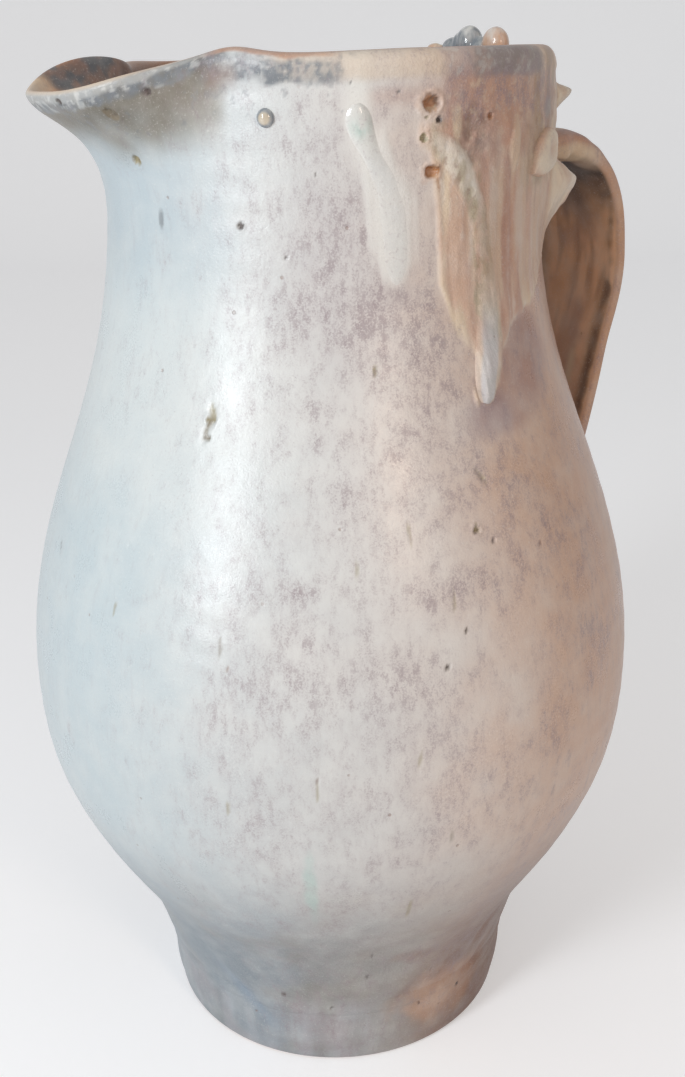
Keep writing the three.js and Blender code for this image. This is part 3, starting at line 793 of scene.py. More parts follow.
def wall_piece(wall, name, first, last, inner_first, inner_last, capped=False):
    """One thrown section: its outer rows, then its inner rows, joined in a loop or capped at the middle."""
    columns = len(wall.turn)
    picked = list(range(first, last + 1)) + list(range(inner_first, inner_last + 1))
    points = wall.points[picked].reshape(-1, 3)
    normals = wall.normals[picked].reshape(-1, 3)
    faces = ring_faces(len(picked), columns, closed_rows=not capped)
    if capped:
        low, high = len(points), len(points) + 1
        centre = np.array([[0, 0, wall.points[first, 0, 2]], [0, 0, wall.points[inner_last, 0, 2]]])
        points = np.concatenate([points, centre])
        normals = np.concatenate([normals, [[0, 0, -1], [0, 0, 1]]])
        end = (len(picked) - 1) * columns
        faces += [[low, (c + 1) % columns, c] for c in range(columns)]
        faces += [[high, end + c, end + (c + 1) % columns] for c in range(columns)]
    paints = {key: values[picked].reshape(-1, 3) for key, values in wall.paint.items()}
    if capped:
        paints = {key: np.concatenate([values, values[:1], values[-1:]]) for key, values in paints.items()}
    return build(name, points, faces, normals, paints)


def turn_of(points):
    return np.degrees(np.arctan2(-points[:, 1], -points[:, 0]))


# The grains that break up the wall's paint: size of the lumps, seed, and how far they are drawn out
GRAINS = {
    "mid": (17, 21), "small": (6, 24), "fine": (2.6, 28), "tiny": (1.5, 53),
    "streak": (5, 31, 0.16), "thread": (2.6, 39, 0.1), "finger": (4.2, 35, 0.02),
}


class Coat:
    """Paint over some places: a colour that others are laid on, one after another."""

    def __init__(self, base, places):
        self.c = colours()
        self.tint = np.broadcast_to(base, (*places.shape, 3))

    def lay(self, name, share, dim=1.0):
        self.tint = mixed(self.tint, self.c[name] * dim, share)

    def darken(self, share):
        self.tint = self.tint * (1 - share)[..., None]


class WallCoat(Coat):
    """The wall's paint, with the place of every point of its grid and the grains that break it up."""

    def __init__(self, wall):
        shape = wall.height.shape
        self.turn = np.broadcast_to(from_seam(wall.turn), shape).ravel()
        super().__init__(colours()["pearl"], self.turn)
        self.height, self.radius = wall.height.ravel(), wall.radius.ravel()
        self.lip = wall.from_lip.ravel()
        self.drop = np.broadcast_to(rim_height(wall.turn, wall.sizes), shape).ravel() - self.height
        row = np.repeat(np.arange(shape[0]), shape[1])
        self.inside = fade_in(row, wall.mark["lip"] - 3, 6)
        points = wall.points.reshape(-1, 3)
        self.big = grain(points, 42, 20)
        for name, made_of in GRAINS.items():
            setattr(self, name, rough_grain(points, *made_of))
        self.facing = self.turn + 8 * self.mid
        self.warm_side = fade_in(270 - self.facing, 0, 90)
        self.cool_side = fade_in(104 - np.abs(apart(self.facing, -4)), 0, 30)
        self.front = fade_in(self.turn, 16, 40) * fade_in(296 - self.turn, 0, 70)

    def away(self, *spot):
        return away_from(self.turn, self.height, self.radius, *spot)

    def patch(self, at, level, half_width, half_height, soft, wobble):
        """A soft-edged spot on the wall, from 0 to 1."""
        away = self.away(at, level, half_width, half_height) + wobble
        return smooth((1 + soft / 2 - away) / soft)

    def lay_spots(self, spots):
        for name, at, level, half_width, half_height, soft, breaks, wobble, strength in spots:
            wobble = wobble * getattr(self, breaks)
            self.lay(name, self.patch(at, level, half_width, half_height, soft, wobble) * strength)


def paint_body(p):
    """Blue-green on the spout's side and warm beige on the handle's, each partly the glaze's own colour and
    partly painted cool and warm light, with the mottling of the front.
    """
    p.lay("celadon", fade_in(74 - np.abs(apart(p.facing, 4)), 0, 62) * 0.96)
    p.lay("blush", fade_in(p.facing, 66, 56) * p.warm_side * 0.96)
    p.lay("blush", fade_in(np.abs(apart(p.turn, 65)), 110, 40) * 0.5)
    p.lay("rose", fade_in(p.facing, 100, 50) * p.warm_side * between(p.height, 40, 240, 30) * 0.22)
    p.mottled = 0.16 + 0.16 * p.front + 0.1 * p.mid + 0.08 * p.small
    for *spot, strength in MOTTLES:
        p.mottled += 0.54 * strength * bell(p.away(*spot) + 0.25 * p.small, 1)


def paint_foot(p):
    """The waist and foot, darker toward the ground with painted shade: cool on the left, warm on the right."""
    p.low = low = fade_in(112 - p.height, 0, 66)
    # Tints low on the foot: its own cool and warm glaze, deepened toward the ground as painted shade
    p.lay("slate", low * fade_in(106 - np.abs(apart(p.facing, -20)), 0, 50) * 0.6)
    p.lay("ash", low * between(p.facing, 60, 90, 14) * 0.26)
    p.lay("rose", low * fade_in(p.facing, 82, 26) * p.warm_side * 0.8)
    p.lay("umber", low * fade_in(p.facing, 90, 24) * p.warm_side * 0.85)
    p.lay("umber", fade_in(p.facing, 100, 40) * p.warm_side * 0.14)
    p.lay("olive", low * between(p.facing, 20, 90, 20) * fade_in(p.mid, -0.1, 0.5) * 0.2)
    # Painted shade: darker toward the ground, and a little darker below the shoulder on the cool side
    p.darken(0.36 * low)
    p.darken(0.1 * fade_in(216 - p.height, 0, 90) * p.cool_side)
    foot = fade_in(34 - p.height, 0, 14)
    p.lay("ice", foot * (0.25 + 0.3 * p.streak) * p.cool_side)
    p.lay("mauve", foot * fade_in(p.mid + 0.5 * p.streak, 0, 0.6) * 0.25)
    p.lay_spots(FOOT_SPOTS)
    # Painted shade along the creases: slate on the cool side, umber on the warm side
    for crease in CREASES:
        share = crease_share(p.turn, p.height, p.radius, crease, 2.8)
        p.lay("slate" if crease[0] < 80 else "umber", share * 0.6)
    p.lay("umber", foot * between(p.turn, 116, 160, 10) * 0.3)


def paint_belly(p):
    """Single spots on the belly and neck, and the mauve and rose round the blue tongue of glaze."""
    p.lay_spots(BELLY_SPOTS)
    for at, level, half_width in SCORCHES:
        p.lay("umber", p.patch(at, level, half_width, 2.4, 0.9, 0.7 * p.small) * 0.5)
        p.lay("iron", p.patch(at, level, half_width * 0.7, 1.3, 0.8, 0.9 * p.fine) * 0.2)
    p.lay("mauve", p.patch(72, 270, 17, 26, 1.0, 0.4 * p.mid) * 0.13)
    wobble = 0.3 * p.mid
    shade = np.maximum(p.patch(118, 241, 13, 13, 0.7, wobble), p.patch(109, 231, 11, 8, 0.8, wobble) * 0.8)
    p.lay("rose", shade * 0.72)
    p.lay("umber", shade * fade_in(p.mid, -0.3, 0.6) * 0.2)
    p.lay("mauve", shade * 0.2 + p.patch(103, 227, 8, 6, 0.9, wobble) * 0.45)


def paint_sheet(p):
    """The drapery of glaze that ran down from the handle's root."""
    edge = EDGE_WANDER * p.finger
    sheet = within(p.turn, p.height, SHEET_LEFT, SHEET_RIGHT, 2.2, edge)
    p.sheet = sheet = sheet * between(p.height, 231, 302 + 3 * p.mid, 5)
    p.lay("blush", sheet * 0.75)
    p.lay("cream", sheet * fade_in(p.streak + 0.4 * p.finger + 0.3 * p.thread, -0.2, 0.4) * 0.66)
    p.lay("rose", sheet * fade_in(-p.streak + 0.4 * p.finger, 0.0, 0.4) * fade_in(p.turn, 97, 8) * 0.6)
    p.lay("umber", sheet * fade_in(p.thread + 0.3 * p.small, 0.12, 0.3) * fade_in(p.turn, 99, 8) * 0.38)
    p.lay("milk", sheet * fade_in(-p.thread + 0.2 * p.fine, 0.2, 0.3) * 0.3)
    strip = between(p.turn, *(np.interp(p.height, STRIP_LEVELS, edge) for edge in STRIP_EDGES), 1.6)
    p.lay("olive", sheet * strip * fade_in(p.fine + 0.6 * p.streak, -0.3, 0.6) * 0.6)
    outline = within(p.turn, p.height, SHEET_LEFT, SHEET_RIGHT, 5.0, edge)
    p.lay("cream", bell(outline - 0.5, 0.22) * between(p.height, 229, 268, 6) * 0.35)
    p.mottled -= 0.22 * sheet


def paint_root(p):
    """The warm ground under the collar at the handle's side, the bare rough patch, and the root."""
    ground = between(p.turn, WARM_GROUND[0] + 2 * p.mid, WARM_GROUND[1], 5)
    p.ground = ground = ground * between(p.drop, 7.5, 24 + 6 * p.small, 5)
    p.lay("rose", ground * 0.82)
    p.lay("umber", ground * fade_in(p.fine + 0.5 * p.mid, 0, 0.7) * 0.3)
    p.lay("hearth_with_painted_light", ground * fade_in(p.mid - 0.3 * p.fine, -0.3, 0.7) * 0.22)
    p.lay("cream", ground * fade_in(p.tiny - 0.4 * p.small, 0.1, 0.4) * 0.4)
    p.rough = rough = p.patch(103.0, 300.5, 4.8, 7.4, 0.7, 0.5 * p.small)
    p.lay("umber", rough * (0.35 + 0.5 * fade_in(p.fine, -0.3, 0.6)))
    p.lay("iron", rough * fade_in(p.tiny + 0.3 * p.small, 0.3, 0.3) * 0.35)
    p.lay("cream", rough * fade_in(-p.tiny, 0.2, 0.3) * 0.4)
    p.lay("cream", p.patch(97.6, 303, 1.6, 5.0, 0.8, 0.4 * p.small) * 0.6)
    p.lay("rose", between(p.turn, 108, 165, 6) * between(p.height, 262, 300, 10) * 0.4)
    p.root = root = between(p.turn, ROOT[0], ROOT[1] + 6 * p.mid, 14) * between(p.drop, 2, 34, 4)
    p.lay("olive", root * fade_in(p.streak + 0.5 * p.small, -0.1, 0.35) * 0.5)
    p.lay("cream", root * fade_in(-p.streak, -0.1, 0.35) * 0.6)
    p.lay("umber", root * fade_in(p.fine, 0.05, 0.4) * 0.35)
    p.lay_spots(ROOT_SPOTS)


def paint_wash(p):
    """The white glaze that ran from the drop."""
    wash = within(p.turn, p.height, WASH_LEFT, WASH_RIGHT, 4.0, EDGE_WANDER * p.finger)
    wash = wash * fade_in(p.height, 258 + 5 * p.finger, 8)
    p.lay("milk", wash * (0.72 + 0.3 * p.streak))
    p.mottled -= 0.34 * wash


def paint_collar(p):
    """The collar, the bands of ash under the lip, the ash and painted shadow under the spout, and the lip's
    edge with its painted reflection and highlight.
    """
    lip, turn = p.lip, p.turn
    # Under the spout: ash glaze with painted shadow, darkest near the lip
    under = fade_in(ASH_END - lip + 5 * p.mid, 0, 17) * between(turn, *SPOUT_ASH, 5)
    p.under = under = under * fade_in(lip, 0, 1)
    p.lay("ash", under * (0.9 + 0.2 * p.mid))
    p.darken(0.2 * under * fade_in(22 - lip, 0, 14))
    p.collar = collar = fade_in(p.height, 313.6 + 0.6 * p.small, 2.6) * fade_in(np.abs(turn), 50, 8)
    p.lay("blush", collar * between(turn, 50, 94, 6) * 0.3)
    p.lay("cream", collar * between(turn, 58, 94, 6) * 0.35)
    p.lay("rose", bell(lip - 12.5, 2.2) * between(turn, 80, 97, 6) * 0.35)
    speckle = fade_in(p.tiny + 0.5 * p.fine + 0.2 * p.small, -0.35, 0.5)
    band = between(lip, 0.6 + 0.5 * p.fine, BAND_END + 1.6 * p.mid + 1.2 * p.fine, 1.8)
    band = band * between(turn, *SPOUT_BAND, 3)
    p.lay("smoke", band * (0.6 + 0.36 * speckle))
    p.lay("milk", band * fade_in(p.tiny - 0.5 * p.fine, 0.15, 0.3) * 0.5)
    band = between(lip, BAND_END + p.fine, RIM_BAND_END + 2 * p.mid + 1.4 * p.fine, 2)
    band = band * between(turn, RIM_BAND[0], RIM_BAND[1] + 5 * p.mid, 5)
    p.lay("smoke", band * (0.46 + 0.48 * speckle))
    flecks = fade_in(p.tiny + 0.5 * p.small, 0.35, 0.2)
    p.lay("smoke", between(lip, 1, 16, 3) * between(turn, -34, 70, 5) * flecks * 0.4)
    p.grey = grey = collar * between(turn, 95 + 2 * p.small, 128 + 4 * p.mid, 3.4)
    p.lay("mauve", grey * (0.42 + 0.2 * p.mid))
    p.lay("smoke", grey * fade_in(p.small + p.mid + 0.6 * p.tiny, -0.4, 0.9) * 0.6)
    p.lay("ash", grey * between(turn, 104, 140, 5) * 0.3)
    p.lay("milk", grey * fade_in(p.tiny - 0.3 * p.small, 0.2, 0.3) * 0.25)
    # The lip's edge: peach and rose beside the spout are bare clay with a painted warm reflection
    edge = between(lip, -1.5, 2.0 + 0.8 * p.small, 1.0)
    p.lay("peach", edge * between(turn, *DRY_LIP, 5) * 0.7)
    p.lay("rose", edge * between(turn, 43, 62, 5) * 0.35)
    # Painted highlight: a pale edge along the spout's lip
    p.lay("milk", edge * between(turn, -30, 40, 4) * 0.35)
    p.lay("umber", bell(lip - 8, 3) * between(turn, 41.5, 45.5, 3) * 0.5)


def paint_mouth(p):
    """The inside: brown clay, soot on the spout's far side, and a pale lip."""
    lip, turn = p.lip, p.turn
    patchy = p.mid + 0.5 * p.small
    warm = Coat(p.c["umber"] * 0.86, turn)
    warm.lay("peach", fade_in(patchy, -0.3, 0.9) * 0.7, 0.8)
    spout = fade_in(-np.abs(turn), -40, 12)
    ash = fade_in(p.small + 0.8 * p.fine, -0.1, 0.7) * fade_in(lip, -44, 10)
    warm.lay("smoke", ash * spout * 0.9, 0.6)
    sooty = between(turn, -50, -12 + 3 * p.mid, 5) * fade_in(lip, -34 + 4 * p.mid, 8) * fade_in(-lip, 1.4, 2)
    warm.lay("smoke", sooty * (0.42 + 0.4 * patchy + 0.25 * p.tiny), 0.62)
    pale = between(turn, -12 + 2 * p.small, 46, 4) * fade_in(lip, -12 + 2.5 * p.small, 2.4)
    warm.lay("peach", pale)
    warm.lay("cream", pale * fade_in(lip, -9, 5) * 0.7)
    warm.lay("amber", (1 - spout) * fade_in(lip, -30, 14) * 0.3)
    warm.lay("peach", (1 - spout) * fade_in(lip, -6, 4) * 0.4)
    p.tint = mixed(p.tint, warm.tint, p.inside)
    p.mottled = lerp(p.mottled, 0.25, p.inside)


def paint_pits(p):
    """Burst bubbles, pits and slashes."""
    for crater in CRATERS:
        _, level, size, _, clay = crater
        away = crater_distance(p.turn, p.height, p.radius, crater) * (1 + 0.3 * p.fine + 0.3 * p.tiny)
        large, upward = size > LARGE_CRATER, (p.height - level) / size
        p.lay("blush", bell(away - 1.4, 0.4) * 0.4 * large)
        p.lay(clay, fade_in(1.15 - away, 0, 0.25) * (0.95 if size > 0.6 else 0.7))
        if large:
            p.lay("peach", fade_in(0.7 - away, 0, 0.3) * fade_in(p.tiny, 0.2, 0.3) * 0.6)
            p.lay("iron", fade_in(0.95 - away, 0, 0.2) * fade_in(p.tiny + p.fine, 0.1, 0.5) * 0.6)
            # Painted shade along the upper edge inside the crater, and painted light on its lower side that
            # faces up
            p.lay("iron", bell(away - 0.95, 0.14) * fade_in(p.fine + upward, -0.2, 0.6) * 0.6)
            p.lay("cream", fade_in(1.1 - away, 0, 0.3) * fade_in(0.6 * p.fine - upward, 0.45, 0.3) * 0.7)
        elif clay != "iron":
            p.lay("iron", fade_in(0.55 - away, 0, 0.4) * 0.35)
    for slash in SLASHES:
        away = slash_distance(p.turn, p.height, p.radius, slash) * (1 + 0.35 * p.fine)
        strength = 0.75 if slash[3] > BROAD_SLASH else 0.55
        p.lay(slash[-1], fade_in(1.2 + 0.3 * p.tiny - away, 0, 0.6) * strength)


def paint_wall(wall):
    """The glaze's colour over the whole grid, and how speckled, glossy and mottled it is there."""
    p = WallCoat(wall)
    for paint in (paint_body, paint_foot, paint_belly, paint_sheet, paint_root, paint_wash, paint_collar,
                  paint_mouth, paint_pits):
        paint(p)
    under_foot = fade_in(0.9 - p.height, 0, 0.6) * (p.radius < 58)
    p.lay("bare_clay", np.maximum(under_foot, (p.height < 1.6) * (p.radius < 49)) * (1 - p.inside))
    speckled = 0.3 + 0.35 * p.front + 0.25 * p.big
    gloss = 0.5 + 0.25 * p.mid - 0.3 * p.collar - 0.4 * p.low - 0.35 * p.ground - 0.2 * p.sheet
    gloss = gloss - 0.3 * p.root - 0.2 * fade_in(p.height, 255, 20)
    mottled = p.mottled + 0.1 * (p.ground + p.root + p.rough) + 0.06 * (p.grey + p.under)
    marks = np.stack([speckled, gloss, mottled], 1)
    return {key: np.clip(values, 0, 1).reshape(*wall.height.shape, 3)
            for key, values in (("tint", p.tint), ("marks", marks))}


# Finishes

class Recipe:
    """A material's nodes: the places and paint that they start from, and the ways to join them."""

    def __init__(self, name):
        self.material = bpy.data.materials.new(name)
        self.material.use_nodes = True
        self.tree = self.material.node_tree
        self.shader = self.tree.nodes["Principled BSDF"].inputs
        self.place = self.add("ShaderNodeTexCoord").outputs["Object"]

    def feed(self, socket, value):
        """Links a node's output to a socket, or sets a plain value there."""
        if isinstance(value, bpy.types.NodeSocket):
            self.tree.links.new(value, socket)
        else:
            socket.default_value = value

    def add(self, kind, inputs=None, **settings):
        made = self.tree.nodes.new(kind)
        for key, value in settings.items():
            setattr(made, key, value)
        for key, value in (inputs or {}).items():
            self.feed(made.inputs[key], value)
        return made

    def paint(self, name):
        return self.add("ShaderNodeAttribute", attribute_name=name).outputs["Color"]

    def parts(self, colour_from):
        return self.add("ShaderNodeSeparateColor", {0: colour_from}).outputs

    def drawn(self, share):
        """The place with its height squeezed, so that a noise read there is drawn out down the jug."""
        return self.add("ShaderNodeMapping", {"Vector": self.place, "Scale": (1, 1, share)}).outputs[0]

    def noise(self, vector, scale, detail=3.0, rough=0.55):
        return self.add("ShaderNodeTexNoise", {
            "Vector": vector, "Scale": scale, "Detail": detail, "Roughness": rough}).outputs["Fac"]

    def ramp(self, value, low, high, to_low=0.0, to_high=1.0):
        return self.add("ShaderNodeMapRange", {
            0: value, 1: low, 2: high, 3: to_low, 4: to_high}).outputs[0]

    def sums(self, operation, *values):
        return self.add("ShaderNodeMath", dict(enumerate(values)), operation=operation).outputs[0]

    def blend(self, a, b, share):
        made = self.add("ShaderNodeMix", data_type="RGBA")
        for key, value in ((0, share), (6, a), (7, b)):
            self.feed(made.inputs[key], (*value, 1) if isinstance(value, np.ndarray) else value)
        return made.outputs[2]

    def join(self, look, rough, height, depth):
        """Joins the colour, the roughness and the bump to the shader."""
        bump = self.add("ShaderNodeBump", {"Strength": 1.0, "Distance": depth, "Height": height})
        for key, value in (("Base Color", look), ("Roughness", rough), ("Normal", bump.outputs[0])):
            self.feed(self.shader[key], value)
        return self.material


def glaze(name, gloss, speckled=1.0, shine=0.5, mottling=1.0):
    """Fired ash glaze: the painted tint, broken by mottling, vertical runs, specks and pinholes."""
    n, c = Recipe(name), colours()
    n.shader["IOR"].default_value = 1.5
    n.shader["Specular IOR Level"].default_value = shine
    mark_speckled, mark_gloss, mark_mottled = n.parts(n.paint("marks"))[:3]
    cloud, runs = n.noise(n.place, 90, 4), n.noise(n.drawn(0.16), 480, 4)
    fine, taller = n.noise(n.place, 1600, 3, 0.6), n.drawn(0.5)
    # Clouds of milk and streaks of mauve
    look = n.blend(n.paint("tint"), c["milk"], n.ramp(cloud, 0.42, 0.72, 0, 0.22))
    look = n.blend(look, c["mauve"], n.ramp(runs, 0.55, 0.85, 0, 0.16))
    # Mottling: dots in clusters, where the paint asks for them
    clusters = n.noise(taller, 250, 7, 0.7)
    dots = n.sums("ADD", n.sums("MULTIPLY", n.noise(n.place, 2100, 2), 0.45),
                  n.sums("MULTIPLY", n.noise(taller, 560, 6, 0.7), 0.55))
    crowd = n.ramp(n.sums("ADD", clusters, mark_mottled), 0.74, 1.1)
    broken = n.ramp(n.sums("ADD", dots, n.sums("MULTIPLY", crowd, 0.1)), 0.52, 0.62)
    look = n.blend(look, c["mauve"], n.sums("MULTIPLY", crowd, 0.2 * mottling))
    broken = n.sums("MULTIPLY", broken, crowd)
    look = n.blend(look, c["mauve"] * 0.86, n.sums("MULTIPLY", broken, 0.62 * mottling))
    # Specks of dark and of milk
    specks = n.sums("MULTIPLY", n.ramp(n.noise(n.place, 1500, 6, 0.75), 0.55, 0.68), mark_speckled)
    specks = n.sums("MULTIPLY", specks, n.ramp(clusters, 0.36, 0.6))
    look = n.blend(look, c["mauve"], n.sums("MULTIPLY", specks, 0.7 * speckled))
    look = n.blend(look, c["milk"], n.ramp(fine, 0.58, 0.75, 0, 0.3))
    # Pinholes in a few cells
    cells = n.add("ShaderNodeTexVoronoi", {"Vector": n.place, "Scale": 190.0, "Randomness": 1.0}).outputs
    chosen = n.ramp(n.parts(cells["Color"])[0], 0.94, 0.96)
    pinhole = n.sums("MULTIPLY", n.ramp(cells["Distance"], 0.12, 0.06), chosen)
    look = n.blend(look, c["umber"], n.sums("MULTIPLY", pinhole, 0.45 * speckled))
    rough = n.ramp(cloud, 0.3, 0.7, gloss - 0.05, gloss + 0.07)
    rough = n.sums("ADD", rough, n.ramp(fine, 0.4, 0.7, 0, 0.07))
    rough = n.sums("ADD", rough, n.ramp(mark_gloss, 0, 1, 0.1, -0.1))
    lumps = n.sums("ADD", n.noise(n.place, 260, 4), n.sums("MULTIPLY", fine, 0.45))
    lumps = n.sums("MULTIPLY", lumps, n.ramp(mark_gloss, 0, 0.45, 2.8, 1.0))
    height = n.sums("SUBTRACT", lumps, n.sums("MULTIPLY", pinhole, 1.4))
    return n.join(look, rough, height, bpy.context.scene.jug_sizes.peel)


def melted(name, gloss, depth=0.00008):
    """Glass that melted and ran: the painted tint with soft streaks, wet and smooth."""
    n, c = Recipe(name), colours()
    for key, value in (("IOR", 1.52), ("Coat Weight", 0.4), ("Coat Roughness", 0.06)):
        n.shader[key].default_value = value
    runs, grains = n.noise(n.drawn(0.2), 700, 4, 0.5), n.noise(n.place, 900, 4, 0.5)
    look = n.blend(n.paint("tint"), c["milk"], n.ramp(runs, 0.45, 0.75, 0, 0.4))
    look = n.blend(look, c["mauve"], n.ramp(grains, 0.55, 0.8, 0, 0.4))
    return n.join(look, n.ramp(grains, 0.4, 0.8, gloss, gloss + 0.12), grains, depth)


def stage_material():
    """Pale paper that glows a little to the eye and in reflections, and still holds the shadow."""
    n, c = Recipe("studio_paper"), colours()
    n.feed(n.shader["Base Color"], n.blend(c["floor"] * 0.98, c["floor"], n.noise(n.place, 6, 4, 0.5)))
    n.shader["Roughness"].default_value = 0.9
    n.shader["Emission Color"].default_value = (1, 1, 1, 1)
    ray = n.add("ShaderNodeLightPath").outputs
    either = n.sums("MAXIMUM", ray["Is Camera Ray"], ray["Is Glossy Ray"])
    either = n.sums("MAXIMUM", either, ray["Is Transmission Ray"])
    n.feed(n.shader["Emission Strength"], n.sums("MULTIPLY", either, PAPER_GLOW))
    return n.material


held = {}


def thrown_wall():
    """The wall's grid, made once and used by every piece that lies on it."""
    if "wall" not in held:
        held["wall"] = Wall()
    return held["wall"]


class JUG_OT_throw_wall(bpy.types.Operator):
    """Throw the foot, the body and the rim with its spout"""

    bl_idname = "jug.throw_wall"
    bl_label = "Throw the wall"

    def execute(self, context):
        wall = thrown_wall()
        m = wall.mark
        body, rim = glaze("body_ash_glaze", 0.29), glaze("rim_ash_glaze", 0.29)
        foot = glaze("foot_ash_glaze", 0.34, shine=0.3)
        last = len(wall.points) - 1
        keep(wall_piece(wall, "thrown_foot", 0, m["foot"], m["inner_foot"], last, capped=True),
             "foot_glaze", foot, "turned_foot")
        keep(wall_piece(wall, "thrown_lower_body", m["foot"], m["belly"], m["inner_belly"], m["inner_foot"]),
             "body_glaze", body, "lower_body")
        keep(wall_piece(wall, "thrown_upper_body", m["belly"], m["neck"], m["inner_neck"], m["inner_belly"]),
             "body_glaze", body, "upper_body")
        keep(wall_piece(wall, "thrown_rim_and_spout", m["neck"], m["lip"], m["lip"] + 1, m["inner_neck"]),
             "rim_glaze", rim, "rim_and_spout")
        return {"FINISHED"}


def spline(points, count):
    """An even centripetal curve through points of any dimension."""
    points = np.asarray(points, float)
    ends = np.concatenate([[2 * points[0] - points[1]], points, [2 * points[-1] - points[-2]]])
    knots = np.concatenate([[0], np.cumsum(np.linalg.norm(np.diff(ends, axis=0), axis=1) ** 0.5)])
    found = []
    for n in range(1, len(ends) - 2):
        t0, t1, t2, t3 = knots[n - 1:n + 3]
        p0, p1, p2, p3 = ends[n - 1:n + 3]
        t = np.linspace(t1, t2, 60, endpoint=False)[:, None]
        a1 = (t1 - t) / (t1 - t0) * p0 + (t - t0) / (t1 - t0) * p1
        a2 = (t2 - t) / (t2 - t1) * p1 + (t - t1) / (t2 - t1) * p2
        a3 = (t3 - t) / (t3 - t2) * p2 + (t - t2) / (t3 - t2) * p3
        b1 = (t2 - t) / (t2 - t0) * a1 + (t - t0) / (t2 - t0) * a2
        b2 = (t3 - t) / (t3 - t1) * a2 + (t - t1) / (t3 - t1) * a3
        found.append((t2 - t) / (t2 - t1) * b1 + (t - t1) / (t2 - t1) * b2)
    found = np.concatenate(found + [points[-1:]])
    run = np.concatenate([[0], np.cumsum(np.linalg.norm(np.diff(found, axis=0), axis=1))])
    even = np.linspace(0, run[-1], count)
    return np.stack([np.interp(even, run, found[:, axis]) for axis in range(found.shape[1])], 1)


def smooth_radius(height, s):
    """The smooth wall's radius away from the spout."""
    if height < s["belly_height"]:
        corners = belly_corners(s)
    elif height < SPOUT_START:
        corners = shoulder_corners(s)
    else:
        corners = [(float(r), float(z)) for r, z in rim_corners(np.array(180.0), s)]
    return bezier(corners, share_at_height(corners, height))[0]


def strap_points(wall):
    """The strap's skin, its ends sunk in the wall, and where each point is round and along it."""
    s = wall.sizes
    heights = [s["rim_height"] - drop for _, drop in STRAP_LINE]
    line = [(smooth_radius(height, s) + out, height) for (out, _), height in zip(STRAP_LINE, heights)]
    line = spline(line, STRAP_STEPS)
    along = np.gradient(line, axis=0)
    along /= np.linalg.norm(along, axis=1, keepdims=True)
    share = np.linspace(0, 1, STRAP_STEPS)[:, None]
    from_root = np.clip(1 - share / STRAP_ROOT["share"], 0, 1)
    from_foot = np.clip(1 - (1 - share) / STRAP_FOOT["share"], 0, 1)
    thick = lerp(s["strap_thickness"], STRAP_ROOT["thickness"], from_root ** 2) / 2
    wide = lerp(s["strap_width"], STRAP_FOOT["width"], from_foot ** 2) / 2
    angle = np.linspace(0, 2 * math.pi, STRAP_SIDES, endpoint=False)[None, :]
    inward = np.sign(np.sin(angle)) * np.abs(np.sin(angle)) ** 0.6
    side = np.sign(np.cos(angle)) * np.abs(np.cos(angle)) ** 0.75
    # Two grooves that fingers drew down the outer face, and one down the inner
    groove = bell(side - 0.4, 0.2) + bell(side + 0.4, 0.2)
    depth = 0.7 * groove * (inward < 0) + 0.3 * bell(side, 0.3) * (inward > 0)
    out = inward * thick - np.sign(inward) * depth * smooth(share * 6) * smooth((1 - share) * 6)
    drips = sum(rise * bell(share - at, 0.022) * bell(side + reach, 0.28) for at, reach, rise in STRAP_DRIPS)
    across = side * wide - drips * (side < 0)
    out = out + drips * np.maximum(inward, 0)
    radius = line[:, :1] + along[:, 1:] * out
    height = line[:, 1:] - along[:, :1] * out
    points = np.stack([radius, across + 0 * radius, height], -1)
    points = points + 0.25 * np.stack([grain(points, 15, 60 + k) for k in range(3)], -1)
    points = points @ np.array(Matrix.Rotation(math.radians(HANDLE_TURN + 180), 3, "Z")).T
    turn = turn_of(points.reshape(-1, 3)).reshape(points.shape[:2])
    reach = np.hypot(points[..., 0], points[..., 1])
    least = wall.radius_at(turn, points[..., 2]) - STRAP_SUNK
    points[..., :2] *= np.maximum(1, least / reach)[..., None]
    inward, side, share = (np.broadcast_to(values, turn.shape).ravel() for values in (inward, side, share))
    return points.reshape(-1, 3), inward, side, share


